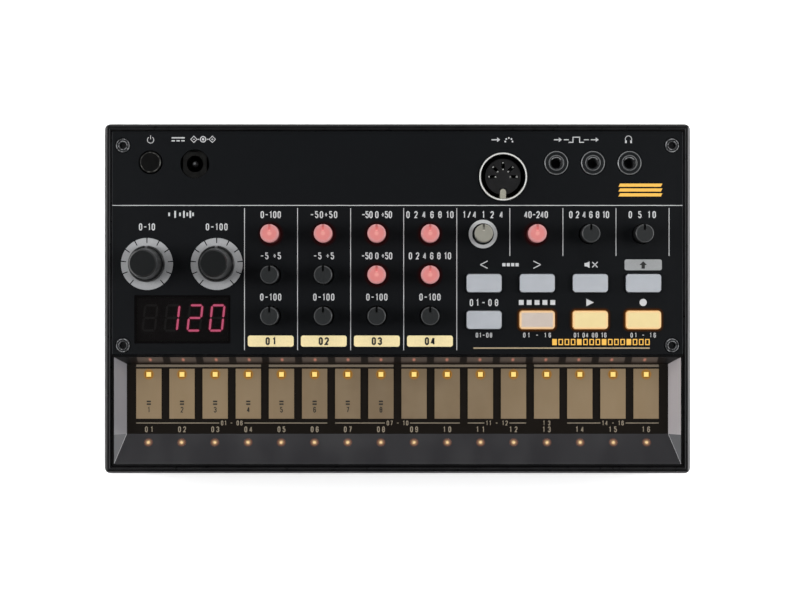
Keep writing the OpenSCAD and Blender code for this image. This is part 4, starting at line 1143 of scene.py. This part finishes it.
# ---- display ----

DIGIT_H, DIGIT_W, DIGIT_PITCH, STROKE = 9.2, 4.9, 7.3, 0.84
PAIR_GAP = 0.3      # the extra space between the two pairs of digits
DIGIT_LEAN = math.tan(math.radians(6))
PAINTED_GLOW_REACH = 0.42         # how far the painted red glow reaches past a lit bar
# Which of the seven bars a digit lights, from the top, clockwise, the middle last
SEGMENTS = {" ": "", "0": "abcdef", "1": "bc", "2": "abged"}


def segment_shapes(grow=0.0):
    """Each bar of a digit as an outline round the digit's middle, made larger all round by grow."""
    bar, post = DIGIT_W - STROKE - 0.25, (DIGIT_H - STROKE) / 2 - 0.3
    column, row = (DIGIT_W - STROKE) / 2, (DIGIT_H - STROKE) / 4
    places = {"a": (0, 2), "b": (1, 1), "c": (1, -1), "d": (0, -2), "e": (-1, -1), "f": (-1, 1),
              "g": (0, 0)}
    shapes = {}
    for name, (side, level) in places.items():
        upright = side != 0
        half, wide = (post if upright else bar) / 2 + grow, STROKE / 2 * 0.8 + grow
        points = [(-half, 0), (-half + wide, wide), (half - wide, wide), (half, 0), (half - wide, -wide),
                  (-half + wide, -wide)]
        if upright:
            points = [(-y, x) for x, y in points]
        shapes[name] = [(side * column + x + DIGIT_LEAN * (level * row + y), level * row + y)
                        for x, y in points]
    return shapes


def display_digits(reading):
    """The four digits behind the window: the lit bars, the painted red glow round them and the dark bars,
    lightened by a faint painted glow.
    """
    centre, z = middle("display_segments"), low("display_segments").z
    lit, dull, painted_glow = Print(z + PRINT_T), Print(z + PRINT_T), Print(z)
    shapes, wider = segment_shapes(), segment_shapes(PAINTED_GLOW_REACH)
    for i, digit in enumerate(reading):
        place = i - (len(reading) - 1) / 2
        x = centre.x + place * DIGIT_PITCH + math.copysign(PAIR_GAP / 2, place)
        for name in shapes:
            on = name in SEGMENTS[digit]
            (lit if on else dull).outline([(x + px, centre.y + py) for px, py in shapes[name]])
            if on:
                painted_glow.outline([(x + px, centre.y + py) for px, py in wider[name]])
    red, painted_glow_shader = Graph("segment_lit"), Graph("segment_haze")
    red.set(Base_Color=(90, 10, 30), Roughness=0.4)
    red.glow(red.patches(900, 2.0, (1.0, 0.14, 0.29, 1), (1.0, 0.21, 0.38, 1)), 1.9)
    # painted glow round the lit bars
    painted_glow_shader.set(Base_Color=(0.02, 0.002, 0.004, 1), Roughness=0.8)
    painted_glow_shader.glow(painted_glow_shader.patches(900, 2.0, (0.07, 0.003, 0.010, 1), (0.10, 0.005, 0.014, 1)))
    off = finish("segment_dark", (46, 46, 46), 0.5)
    # painted light: a faint glow that brightens the unlit bars
    off.glow((0.017, 0.017, 0.016, 1))
    shown = lit.piece("digits_lit", red.owner, slot="display_lit")
    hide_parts("display_segments")
    painted_glow.piece("digits_haze", painted_glow_shader.owner, slot="display_lit")
    dull.piece("digits_unlit", off.owner, slot="display_black")


# ---- stage ----

def studio_floor():
    """A pale floor. Its glow shows only to the rays that show the background, and lights nothing."""
    backdrop_glow = 0.55
    corners = [(-6, -6, 0), (6, -6, 0), (6, 6, 0), (-6, 6, 0)]    # in metres
    mesh = bpy.data.meshes.new("floor")
    mesh.from_pydata(corners, [], [(0, 1, 2, 3)])
    graph = Graph("floor")
    tone = graph.patches(3.0, 2.0, (0.84, 0.84, 0.85, 1), (0.88, 0.88, 0.88, 1))
    graph.set(Base_Color=tone, Roughness=0.9)
    graph.glow(WHITE, graph.seen() * backdrop_glow)
    mesh.materials.append(graph.owner)
    placed("floor", mesh)


def studio_lights():
    """Soft light from both sides and the rear, turned towards the machine. Lengths are in metres."""
    for name, place, wide, tall, power in (
        ("left_light", (-0.75, 0.05, 0.55), 0.5, 0.9, 6.8),
        ("right_light", (0.75, 0.05, 0.55), 0.5, 0.9, 7.9),
        ("rear_light", (0.0, 0.85, 0.5), 1.2, 0.4, 4.2),
    ):
        lamp = bpy.data.lights.new(name, "AREA")
        lamp.shape, lamp.size, lamp.size_y, lamp.energy = "RECTANGLE", wide, tall, power
        made = placed(name, lamp)
        made.location = place
        made.rotation_euler = (-Vector(place)).to_track_quat("-Z", "Y").to_euler()


def studio_sky():
    """A dim sky, with a pale horizon for the rays that show the background."""
    sky = Graph("sky", sky=True)
    _, _, height = sky.axes("Generated")
    dim = height.remap(0.15, 0.9, 0.05, 0.009, "LINEAR")
    pale = height.remap(0.1, 0.45, 0.95, 0.0, "LINEAR")
    sky.set(Color=WHITE, Strength=dim + sky.seen() * pale)
    bpy.context.scene.world = sky.owner


def camera():
    """Straight down over the machine, so that the view at the panel's level is view_w wide."""
    view_w, distance, sensor = 264.4, 650, 36.0
    off_x, off_y = 0.83, -0.41
    data = bpy.data.cameras.new("camera")
    data.sensor_width = sensor
    data.lens = sensor * distance / view_w
    made = placed("camera", data)
    made.location = Vector((off_x, off_y, panel_z + distance)) * MM
    bpy.context.scene.camera = made


paint_nodes()
soften_edges()
column_lines()
dial_scale("left_dial_scale", "left_dial")
dial_scale("right_dial_scale", "right_dial")
sample_ring()
number_marks()
symbol_marks()
voice_tags()
shift_tag()
gold_marks()
key_legends()
step_glow()
knob_halos()
button_halos()
slope_lights()
display_digits(" 120")
bpy.context.scene.view_settings.view_transform = "Standard"
studio_floor()
studio_lights()
studio_sky()
camera()
